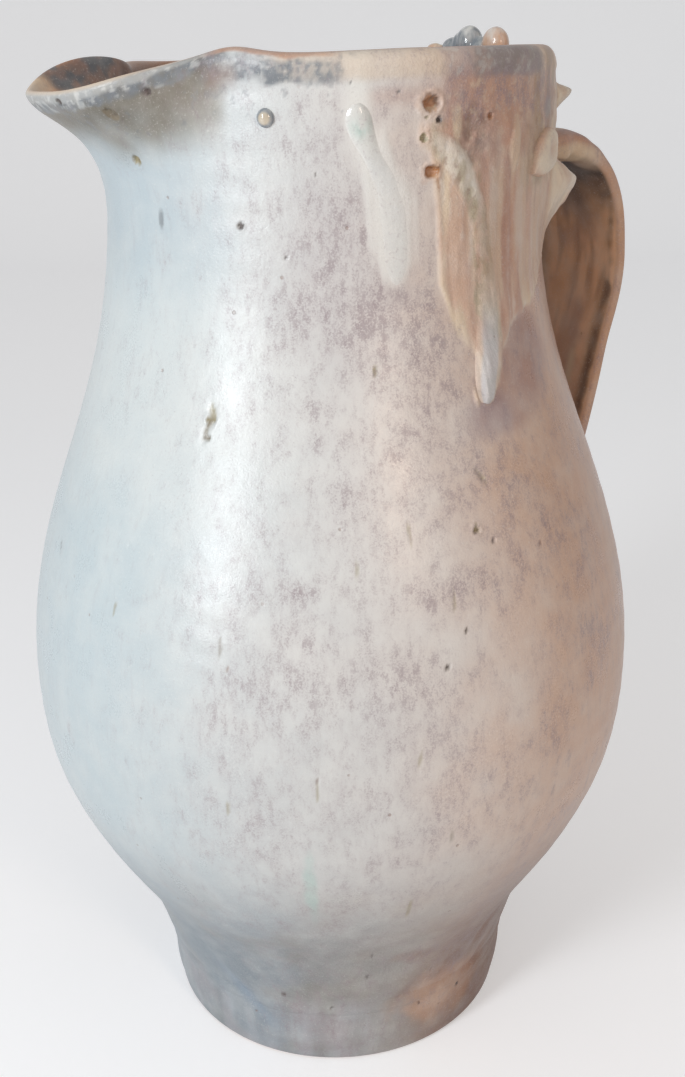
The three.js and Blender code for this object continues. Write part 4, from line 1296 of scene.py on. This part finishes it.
def paint_strap(points, inward, side, share):
    """Beige outside with a peach edge, red-brown inside lightened with painted light, painted shade at the top
    and down the far edge, and cream glaze at the root.
    """
    unrolled = np.stack([side * 22, inward * 3, share * 30], -1)
    streak, wide_streak = rough_grain(unrolled, 5, 70), grain(unrolled * np.array([1, 1, 0.5]), 9, 74)
    mid = rough_grain(points, 12, 77)
    c = colours()
    coat = Coat(c["blush"] * 0.9, side)
    coat.lay("mauve", fade_in(wide_streak + 0.4 * mid, -0.1, 0.6) * 0.5)
    coat.lay("rose", fade_in(streak, 0, 0.5) * 0.4)
    # The red-brown inside starts from the hearth colour, lightened as painted light
    brown = Coat(c["hearth_with_painted_light"], side)
    brown.lay("amber", bell(side - 0.25 - 0.2 * mid, 0.35) * 0.3)
    brown.lay("umber", fade_in(streak, 0.05, 0.4) * 0.55)
    brown.lay("rose", fade_in(mid + 0.4 * wide_streak, -0.1, 0.5) * 0.4)
    lower = fade_in(share, 0.4, 0.2) * 0.45
    brown.lay("mauve", bell(side + 0.42, 0.2) * fade_in(wide_streak + mid, -0.3, 0.5) * lower, 0.75)
    # Painted shade down the far edge of the inner face and at its top under the root
    brown.lay("iron", fade_in(side + 0.2 * mid, 0.3, 0.4) * fade_in(0.8 - share, 0, 0.4) * 0.7)
    brown.lay("iron", fade_in(0.44 + 0.05 * mid - share, 0, 0.2) * 0.95, 0.7)
    brown.lay("peach", fade_in(streak - 0.3 * mid, 0.25, 0.3) * fade_in(share, 0.4, 0.3) * 0.35)
    brown.lay("blush", fade_in(share, 0.4, 0.4) * (0.42 + 0.3 * fade_in(streak, -0.2, 0.6)))
    face = fade_in(inward, 0.1, 0.5) * fade_in(1 - np.abs(side), 0.02, 0.06)
    coat.tint = mixed(coat.tint, brown.tint, face)
    edge = bell(side + 0.86 + 0.05 * mid, 0.12) * between(share, 0.28, 0.82, 0.08) * face
    coat.lay("iron", edge * fade_in(mid + 0.6 * streak, -0.5, 0.6) * 0.75)
    coat.lay("cream", bell(side + 0.5, 0.08) * between(share, 0.72, 0.8, 0.04) * face * 0.6)
    coat.lay("peach", bell(np.abs(side) - 1, 0.06) * (1 - face) * 0.3)
    spot = np.hypot((share - 0.84) / 0.008, (side + 0.2) / 0.07)
    coat.lay("iron", fade_in(1.2 - spot, 0, 0.6) * face)
    near = fade_in(0.26 + 0.04 * mid - share, 0, 0.1) * (1 - face * fade_in(side, -0.85, 0.3))
    coat.lay("rose", near * 0.5)
    coat.lay("cream", near * fade_in(streak, -0.3, 0.5) * 0.7)
    coat.lay("umber", near * fade_in(mid, 0.1, 0.4) * 0.4)
    marks = np.stack([0.35 + 0 * mid, 0.45 + 0.3 * mid, 0.36 + 0.2 * wide_streak - 0.3 * face], 1)
    return {"tint": coat.tint, "marks": np.clip(marks, 0, 1)}


class JUG_OT_pull_handle(bpy.types.Operator):
    """Pull the strap handle and lute it on"""

    bl_idname = "jug.pull_handle"
    bl_label = "Pull the handle"

    def execute(self, context):
        points, inward, side, share = strap_points(thrown_wall())
        faces = ring_faces(STRAP_STEPS, STRAP_SIDES)
        last = (STRAP_STEPS - 1) * STRAP_SIDES
        faces += [list(range(STRAP_SIDES))[::-1], [last + k for k in range(STRAP_SIDES)]]
        strap = build("pulled_strap", points, faces, None, paint_strap(points, inward, side, share))
        fix_facing(strap)
        keep(strap, "handle_glaze", glaze("strap_ash_glaze", 0.45, shine=0.16), "strap_handle")
        return {"FINISHED"}


def fix_facing(piece):
    """Turns the faces of a closed piece outward."""
    work = bmesh.new()
    work.from_mesh(piece.data)
    bmesh.ops.recalc_face_normals(work, faces=work.faces)
    if work.calc_volume(signed=True) < 0:
        bmesh.ops.reverse_faces(work, faces=work.faces)
    work.to_mesh(piece.data)
    work.free()
    piece.data.shade_smooth()


# Pieces laid on the wall

def laid_on(wall, name, turn, height, lift, tint, marks, lean=0.0):
    """A closed skin over a patch of the wall, from grids of turn, height and lift."""
    top, outward = wall.place(turn, height, lift)
    top[..., 2] += lean * np.maximum(lift, 0)
    under, _ = wall.place(turn, height, np.full(lift.shape, -1.5))
    normal = np.cross(np.gradient(top, axis=1), np.gradient(top, axis=0))
    normal /= np.maximum(np.linalg.norm(normal, axis=-1, keepdims=True), 1e-12)
    flip = (normal * outward).sum() < 0
    if flip:
        normal = -normal
    rows, columns = lift.shape
    size = rows * columns
    number = np.arange(size).reshape(rows, columns)
    a, b, c, d = number[:-1, :-1], number[:-1, 1:], number[1:, 1:], number[1:, :-1]
    upper = np.stack([a, b, c, d], -1).reshape(-1, 4)
    lower = upper[:, ::-1] + size
    rim = np.concatenate([number[0, :-1], number[:-1, -1], number[-1, :0:-1], number[:0:-1, 0]])
    after = np.roll(rim, -1)
    sides = np.stack([after, rim, rim + size, after + size], -1)
    faces = np.concatenate([upper, lower, sides])
    if flip:
        faces = faces[:, ::-1]
    points = np.concatenate([top.reshape(-1, 3), under.reshape(-1, 3)])
    normals = np.concatenate([normal.reshape(-1, 3), -normal.reshape(-1, 3)])
    paints = {"tint": np.tile(tint.reshape(-1, 3), (2, 1)), "marks": np.tile(marks.reshape(-1, 3), (2, 1))}
    return build(name, points, faces.tolist(), normals, paints)


def disc(count):
    """A round grid without a pinched middle: two grids of coordinates from -1 to 1."""
    u, v = np.meshgrid(np.linspace(-1, 1, count), np.linspace(-1, 1, count))
    return u * np.sqrt(1 - v * v / 2), v * np.sqrt(1 - u * u / 2)


def spot_on(wall, at, level, x, y):
    """Turns and heights of a grid laid out in millimetres about a place on the wall."""
    radius = wall.radius_at(np.array(float(at)), np.array(float(level)))
    return at + np.degrees(x / radius), level + y


def ground_paint(wall, turn, height):
    """The wall's own paint where a piece lies on it."""
    edges = np.append(wall.turn, wall.turn[0] + 360)
    column = np.clip(np.searchsorted(edges, (turn - edges[0]) % 360 + edges[0]) - 1, 0, len(wall.turn) - 1)
    first, last = wall.mark["foot"], wall.mark["lip"] - ROWS_UNDER_LIP
    middle = wall.height[first:last].mean(1)
    row = np.clip(np.searchsorted(middle, height), 0, len(middle) - 1) + first
    return wall.paint["tint"][row, column], wall.paint["marks"][row, column]


def press_on(name, node_name, slot, material, grid, coat, share, lean=0.0):
    """Lays a piece on the wall for a node, its paint fading into the wall's own where share falls."""
    wall = thrown_wall()
    turn, height, lift = grid
    ground, marks = ground_paint(wall, turn, height)
    tint = mixed(ground, coat.tint, share)
    keep(laid_on(wall, name, turn, height, lift, tint, marks, lean), slot, material, node_name)


# Each spur: node, turn, drop below the rim, length, half width, reach above and below its point, how
# blunt the point is, and how far it leans up
SPURS = (
    ("upper_spur", 153.5, 13.0, 5.6, 5.6, 3.8, 5.2, 0.012, 0.22),
    ("lower_spur", 152.0, 37.0, 8.8, 9.6, 9.0, 18.0, 0.0016, 0.16),
)

# The thumb rest: turn, height, half width and half height of its ground, and its slant in degrees
THUMB_REST = (136.0, 295.0, 18.5, 14.0, 29)


class JUG_OT_press_spurs(bpy.types.Operator):
    """Press on the two spurs and the thumb rest at the handle's root"""

    bl_idname = "jug.press_spurs"
    bl_label = "Press on the spurs"

    def execute(self, context):
        clay = glaze("root_clay_glaze", 0.36, speckled=0.7, mottling=0.6)
        for spur in SPURS:
            self.spur(clay, *spur)
        self.thumb_rest(clay)
        return {"FINISHED"}

    def spur(self, clay, node_name, at, drop, long, half_width, above, below, blunt, lean):
        """A point of clay drawn out of the wall, with the marks of the fingers that drew it."""
        c, wall = colours(), thrown_wall()
        x, y = disc(96)
        mm_x, mm_y = x * half_width, np.where(y > 0, y * above, y * below)
        turn, height = spot_on(wall, at, wall.sizes["rim_height"] - drop, mm_x, mm_y)
        near = np.clip(1 - np.sqrt(np.hypot(x, y) ** 2 + blunt), 0, 1)
        lift = long * near ** lerp(1.5, 1.9, smooth(y * 2 + 0.5))
        drawn = rough_grain(flat_points(mm_x, mm_y * 0.2), 3, 82)
        lift = lift * (1 + 0.16 * drawn) + 0.5 * drawn * fade_in(near, 0, 0.3)
        lift = lift * (1 + 0.1 * grain(flat_points(mm_x, mm_y), 3, 80)) - 0.12
        coat = Coat(lerp(c["cream"], c["milk"], 0.3), x)
        coat.lay("rose", fade_in(drawn, 0, 0.4) * 0.5)
        coat.lay("milk", fade_in(near, 0.6, 0.35) * 0.4)
        coat.lay("umber", fade_in(-y, 0.1, 0.6) * fade_in(-drawn, 0, 0.4) * 0.4)
        press_on(f"pressed_{node_name}", node_name, "lump_glaze", clay, (turn, height, lift), coat,
                 fade_in(near, 0.05, 0.3) * 0.8, lean)

    def thumb_rest(self, clay):
        """A petal of clay with a thumbprint, thick where it faces the spout, running down to a tip."""
        at, level, half_width, half_height, slant = THUMB_REST
        x, y = disc(150)
        mm_x, mm_y = x * half_width, y * half_height
        turn, height = spot_on(thrown_wall(), at, level, mm_x, mm_y)
        # Along the petal from its tip at the lower left to its top, and across it
        slant = math.radians(slant)
        along = mm_x * math.cos(slant) + mm_y * math.sin(slant)
        across = -mm_x * math.sin(slant) + mm_y * math.cos(slant)
        wobble = grain(flat_points(mm_x, mm_y), 5, 84)
        share = np.clip((along + 13.5) / 20.5, 0, 1)
        half = 0.01 + 6.2 * np.sin(math.pi * share ** 1.1) ** 0.8
        off = np.abs(across + 0.5 * wobble) / half
        body = np.clip(1 - off ** 2.6, 0, 1) ** 0.5 * ((share > 0) & (share < 1))
        thumbprint = bell(np.hypot(along + 2.0, (across - 0.8) * 1.2), 3.4)
        lift = body * (1.5 + 2.3 * np.sin(math.pi * share ** 1.3) + 0.2 * wobble) - 1.3 * thumbprint * body
        lift = lift * fade_in(1 - np.hypot(x, y), 0, 0.08) - 0.14
        c = colours()
        coat = Coat(c["blush"], x)
        pale = lerp(c["cream"], c["milk"], 0.25)
        coat.tint = mixed(coat.tint, pale, fade_in(lift + 0.8 * wobble, 0.6, 1.6) * 0.9)
        # Painted shade in umber where the petal lies low, round its edges
        coat.lay("umber", fade_in(0.5 - lift, 0, 0.5) * 0.6)
        coat.lay("rose", thumbprint * 0.5)
        press_on("pressed_thumb_rest", "thumb_rest", "lump_glaze", clay, (turn, height, lift), coat,
                 fade_in(lift, -0.1, 0.5))


# Each pellet: node, piece, turn, slot, its lobes as (along the rim, across it, up) and their half sizes, and
# its tint, how bright that is, and the tint on top, which is milky glaze and a painted highlight
PELLETS = (
    ("left_rim_pellet", "kneaded_left_pellet", -164.5, "grey_glass",
     ((0, 0, 1.2, 4.6, 4.3, 5.3), (4.8, 0, -0.3, 3.2, 3.2, 3.4), (-3.6, 0.3, 0.4, 3.2, 3.6, 4.4),
      (-7.2, 0.2, -0.6, 4.2, 3.7, 3.7)), ("smoke", 1.25, "milk")),
    ("right_rim_pellet", "kneaded_right_pellet", -176, "lump_glaze",
     ((0, 0, 1, 4.9, 4.0, 4.9), (-2.8, 0.3, 0.4, 3.0, 3.2, 3.8)), ("blush", 1.0, "milk")),
    ("rim_nub", "kneaded_nub", -151.5, "lump_glaze",
     ((0, 0, 0.0, 2.6, 2.4, 1.6), (2.2, 0, -0.2, 2.0, 2.2, 1.2)), ("blush", 1.0, "cream")),
)


class JUG_OT_press_pellets(bpy.types.Operator):
    """Press the pellets and the nub on the lip over the handle"""

    bl_idname = "jug.press_pellets"
    bl_label = "Press on the pellets"

    def execute(self, context):
        s = sizes()
        finishes = {"lump_glaze": melted("pale_pellet_glaze", 0.16),
                    "grey_glass": melted("grey_pellet_glass", 0.08)}
        for node_name, name, at, slot, lobes, (base, bright, top) in PELLETS:
            centre = around(np.array(float(at)), rim_radius(at, s) - LIP_THICKNESS / 2, rim_height(at, s))
            piece = kneaded(name, lobes, centre, at)
            points = corners_of(piece.data) / MM
            low, high = points[:, 2].min(), points[:, 2].max()
            rise = (points[:, 2] - low) / (high - low)
            mid = rough_grain(points, 2.2, 91, 0.4)
            coat = Coat(colours()[base] * bright, rise)
            # Paler toward the top: milky glaze and a painted highlight
            coat.lay(top, fade_in(rise + 0.5 * mid, 0.55, 0.6) * 0.75)
            add_paint(piece.data, "tint", coat.tint)
            keep(piece, slot, finishes[slot], node_name)
        return {"FINISHED"}


def corners_of(mesh):
    found = np.empty(len(mesh.vertices) * 3)
    mesh.vertices.foreach_get("co", found)
    return found.reshape(-1, 3)


def kneaded(name, lobes, centre, turn):
    """One closed lump from a few rounded lobes, melted into each other."""
    work = bmesh.new()
    for along, across, up, a, b, h in lobes:
        spot = Matrix.Translation((along, across, up)) @ Matrix.Diagonal((a, b, h, 1))
        bmesh.ops.create_icosphere(work, subdivisions=4, radius=1.0, matrix=spot)
    mesh = bpy.data.meshes.new(name)
    work.to_mesh(mesh)
    work.free()
    angle = math.radians(turn)
    # Along the rim is toward a smaller turn, across is outward
    along, out = (-math.sin(angle), math.cos(angle), 0), (-math.cos(angle), -math.sin(angle), 0)
    facing = Matrix((along, out, (0, 0, 1))).transposed().to_4x4()
    mesh.transform(Matrix.Translation(centre) @ facing)
    raw = bpy.data.objects.new(name, mesh)
    bpy.context.scene.collection.objects.link(raw)
    melt = raw.modifiers.new("melt", "REMESH")
    melt.mode, melt.voxel_size = "VOXEL", 0.28
    soften = raw.modifiers.new("soften", "SMOOTH")
    soften.factor, soften.iterations = 0.5, 10
    seen = raw.evaluated_get(bpy.context.evaluated_depsgraph_get())
    done = bpy.data.meshes.new_from_object(seen)
    bpy.data.objects.remove(raw)
    points = corners_of(done)
    points = points + 0.12 * np.stack([grain(points, 2.4, 95 + k) for k in range(3)], -1)
    done.vertices.foreach_set("co", (points * MM).ravel())
    done.update()
    done.shade_smooth()
    piece = bpy.data.objects.new(name, done)
    bpy.context.scene.collection.objects.link(piece)
    fix_facing(piece)
    return piece


# Runs of glaze: turn, drop below the rim, half width and rise at each place
CREAM_RUN = ((88.0, 21.6, 3.4, 0.1), (93.4, 23.4, 4.4, 0.5), (97.4, 27.2, 4.8, 0.8),
             (101.0, 32.8, 4.4, 0.75), (104.0, 39.8, 3.9, 0.55), (106.2, 50.8, 3.8, 0.3),
             (107.6, 61.6, 4.8, 0.32), (106.4, 73.0, 5.0, 0.5), (104.4, 81.6, 4.4, 0.72),
             (101.9, 90.8, 3.1, 0.9))
WHITE_RUN = ((73.4, 12.4, 3.7, 0.8), (73.9, 17.2, 4.1, 1.05), (76.6, 24.5, 3.0, 0.5), (80.2, 33, 3.9, 0.3),
             (82.0, 44, 4.2, 0.26), (82.2, 57.5, 2.4, 0.22))


# The bead of glass: turn, drop below the rim, half width, half height
BEAD = (53.3, 15.5, 2.7, 2.8)

# Points across a run, and how far past its edges its grid goes, in half widths
RUN_COLUMNS, RUN_SPREAD = 48, 1.3


def run_grid(route, ends, rows):
    """Turn, height, lift, and the places along and across a run of glaze."""
    wall = thrown_wall()
    top = wall.sizes["rim_height"]
    line = spline([(turn, top - drop, half, rise) for turn, drop, half, rise in route], rows)
    degree = np.radians(1) * wall.radius_at(line[:, 0], line[:, 1])
    step = np.gradient(line[:, :2], axis=0) * np.stack([degree, np.ones(rows)], 1)
    step /= np.linalg.norm(step, axis=1, keepdims=True)
    share = np.linspace(0.004, 0.996, rows)
    from_end = np.minimum(1, np.minimum(share, 1 - share) / ends)
    rounding = np.sqrt(1 - (1 - from_end) ** 2)
    wave = 1 + 0.14 * grain(flat_points(line[:, 1], line[:, 0]), 6, 101)
    half = (line[:, 2] * rounding * wave)[:, None]
    across = np.linspace(-RUN_SPREAD, RUN_SPREAD, RUN_COLUMNS)[None, :]
    turn = line[:, :1] + (step[:, 1:] * across * half) / degree[:, None]
    height = line[:, 1:2] - step[:, :1] * across * half
    bulge = np.clip(1 - np.abs(across) ** 2.2, 0, 1) ** lerp(1.3, 0.8, smooth(share[:, None] * 2 - 0.6))
    lift = (line[:, 3] * rounding ** 0.7)[:, None] * bulge
    bumps = rough_grain(flat_points(turn * 1.15, height), 3.2, 104)
    lift = lift * (1 + 0.24 * bumps * (1 - 0.7 * smooth(share[:, None] * 3 - 1.6))) - 0.1
    share, across = (np.broadcast_to(values, turn.shape) for values in (share[:, None], across))
    return turn, height, lift, share, across


class JUG_OT_run_glaze(bpy.types.Operator):
    """Let the thick glaze run down the neck, and set the bead of glass under the rim"""

    bl_idname = "jug.run_glaze"
    bl_label = "Run the glaze"

    def execute(self, context):
        self.cream_run()
        self.white_run()
        self.bead()
        return {"FINISHED"}

    def cream_run(self):
        turn, height, lift, share, across = run_grid(CREAM_RUN, 0.03, 420)
        c = colours()
        mid = rough_grain(flat_points(turn, height * 0.5), 3, 110)
        flecks = rough_grain(flat_points(turn * 1.15, height), 1.6, 116)
        upper = fade_in(0.62 - share, 0, 0.1)
        coat = Coat(lerp(c["cream"], c["pearl"], 0.5), turn)
        coat.lay("olive", upper * fade_in(mid + 0.5 * across, -0.1, 0.7) * 0.66)
        coat.lay("umber", upper * fade_in(flecks + 0.5 * across, 0.2, 0.4) * 0.5)
        coat.lay("milk", upper * fade_in(-flecks - 0.3 * across, 0.2, 0.4) * 0.35)
        coat.lay("blush", fade_in(share, 0.5, 0.12) * 0.4)
        coat.lay("ice", fade_in(share, 0.56, 0.2) * fade_in(0.74 - np.abs(across + 0.1 * mid), 0, 0.3) * 0.85)
        coat.lay("milk", fade_in(share, 0.66, 0.14) * bell(np.abs(across) - 0.86, 0.16) * 0.3)
        middle = between(share, 0.36, 0.5, 0.1)
        press_on("cream_run", "cream_glaze_run", "cream_glass", glaze("cream_run_glass", 0.3, mottling=0.5),
                 (turn, height, lift), coat, fade_in(lift, -0.1, 0.6) * (1 - 0.5 * middle) * 0.84)

    def white_run(self):
        turn, height, lift, share, across = run_grid(WHITE_RUN, 0.1, 300)
        mid = rough_grain(flat_points(turn * 2, height), 3, 113)
        coat = Coat(colours()["milk"] * 0.88, turn)
        pool = bell(share - 0.13, 0.05) * bell(across, 0.7)
        coat.lay("turquoise", np.clip(pool * (0.6 + mid), 0, 1) * 0.6)
        coat.lay("ice", fade_in(share, 0.2, 0.2) * 0.25)
        press_on("white_run", "white_glaze_run", "white_glass", melted("white_run_glass", 0.24),
                 (turn, height, lift), coat, fade_in(lift, -0.1, 0.36) * (1 - 0.4 * fade_in(share, 0.3, 0.2)))

    def bead(self):
        wall = thrown_wall()
        x, y = disc(48)
        at, drop, half_width, half_height = BEAD
        level = wall.sizes["rim_height"] - drop
        turn, height = spot_on(wall, at, level, x * half_width, y * half_height)
        away = np.hypot(x, y)
        lift = 1.8 * np.clip(1 - (away / 0.85) ** 2, 0, 1) ** 0.55 - 0.1
        # The clear glass is painted: painted shade in a grey ring round its edge and a painted highlight in
        # its pale middle
        coat = Coat(colours()["smoke"] * 1.3, x)
        coat.lay("cream", fade_in(0.7 - away, 0, 0.3) * 0.8, 0.9)
        press_on("bead_of_glass", "glass_bead", "grey_glass", melted("bead_glass", 0.04, 0.00001),
                 (turn, height, lift), coat, fade_in(lift, -0.1, 0.2))


class JUG_OT_set_stage(bpy.types.Operator):
    """Set the floor, the lamps and the camera"""

    bl_idname = "jug.set_stage"
    bl_label = "Set the stage"

    def execute(self, context):
        lights = context.scene.studio_lights
        path = [(FLOOR["front"], 0.0)]
        for step in range(FLOOR["steps"] + 1):
            angle = math.radians(90 * step / FLOOR["steps"])
            path.append((FLOOR["curve_at"] + FLOOR["curve"] * math.sin(angle),
                         FLOOR["curve"] * (1 - math.cos(angle))))
        path.append((FLOOR["curve_at"] + FLOOR["curve"], FLOOR["top"]))
        half = FLOOR["half_width"]
        points = np.array([(x, y, z) for y, z in path for x in (-half, half)]) / MM
        faces = [[2 * n, 2 * n + 1, 2 * n + 3, 2 * n + 2] for n in range(len(path) - 1)]
        floor = build("studio_floor", points, faces)
        floor.rotation_euler.z = math.radians(-CAMERA_LOOK[0])
        floor.location.z = -0.00002
        floor.data.materials.append(stage_material())
        for lamp, power in zip(LAMPS, (lights.key_power, lights.fill_power)):
            place_lamp(*lamp, power)
        world = bpy.data.worlds.new("even_sky")
        world.use_nodes = True
        background = world.node_tree.nodes["Background"]
        background.inputs["Color"].default_value = (1, 1, 1, 1)
        background.inputs["Strength"].default_value = lights.sky
        context.scene.world = world
        lens = bpy.data.cameras.new("front_camera")
        lens.sensor_width = 36
        lens.lens = CAMERA_LENS
        lens.clip_start = 0.01
        camera = bpy.data.objects.new("front_camera", lens)
        look, pitch, roll = (math.radians(angle) for angle in CAMERA_LOOK)
        ahead = Vector((math.sin(look) * math.cos(pitch), math.cos(look) * math.cos(pitch), -math.sin(pitch)))
        camera.rotation_mode = "QUATERNION"
        camera.rotation_quaternion = (
            ahead.to_track_quat("-Z", "Y").to_matrix() @ Matrix.Rotation(roll, 3, "Z")).to_quaternion()
        camera.location = CAMERA_PLACE
        context.scene.collection.objects.link(camera)
        context.scene.camera = camera
        context.scene.view_settings.view_transform = "Standard"
        return {"FINISHED"}


def place_lamp(name, where, toward, wide, tall, light_colour, power):
    lamp = bpy.data.lights.new(name, "AREA")
    lamp.shape = "RECTANGLE"
    lamp.size, lamp.size_y = wide, tall
    lamp.energy = power
    lamp.color = light_colour
    holder = bpy.data.objects.new(name, lamp)
    holder.location = where
    holder.rotation_euler = (Vector(toward) - Vector(where)).to_track_quat("-Z", "Y").to_euler()
    bpy.context.scene.collection.objects.link(holder)


STEPS = ("throw_wall", "pull_handle", "press_spurs", "press_pellets", "run_glaze", "set_stage")


class JUG_PT_maker(bpy.types.Panel):
    """The steps of making the jug, in order"""

    bl_label = "Ash-glazed Jug"
    bl_idname = "JUG_PT_maker"
    bl_space_type = "VIEW_3D"
    bl_region_type = "UI"
    bl_category = "Jug"

    def draw(self, context):
        for step in STEPS:
            self.layout.operator(f"jug.{step}")


CLASSES = (JugSizes, JugColours, StudioLights, JUG_OT_throw_wall, JUG_OT_pull_handle, JUG_OT_press_spurs,
           JUG_OT_press_pellets, JUG_OT_run_glaze, JUG_OT_set_stage, JUG_PT_maker)


def register():
    for made in CLASSES:
        bpy.utils.register_class(made)
    bpy.types.Scene.jug_sizes = bpy.props.PointerProperty(type=JugSizes)
    bpy.types.Scene.jug_colours = bpy.props.PointerProperty(type=JugColours)
    bpy.types.Scene.studio_lights = bpy.props.PointerProperty(type=StudioLights)


def unregister():
    del bpy.types.Scene.studio_lights, bpy.types.Scene.jug_colours, bpy.types.Scene.jug_sizes
    for made in reversed(CLASSES):
        bpy.utils.unregister_class(made)


def main():
    register()
    for step in STEPS:
        getattr(bpy.ops.jug, step)()


if __name__ == "__main__":
    main()
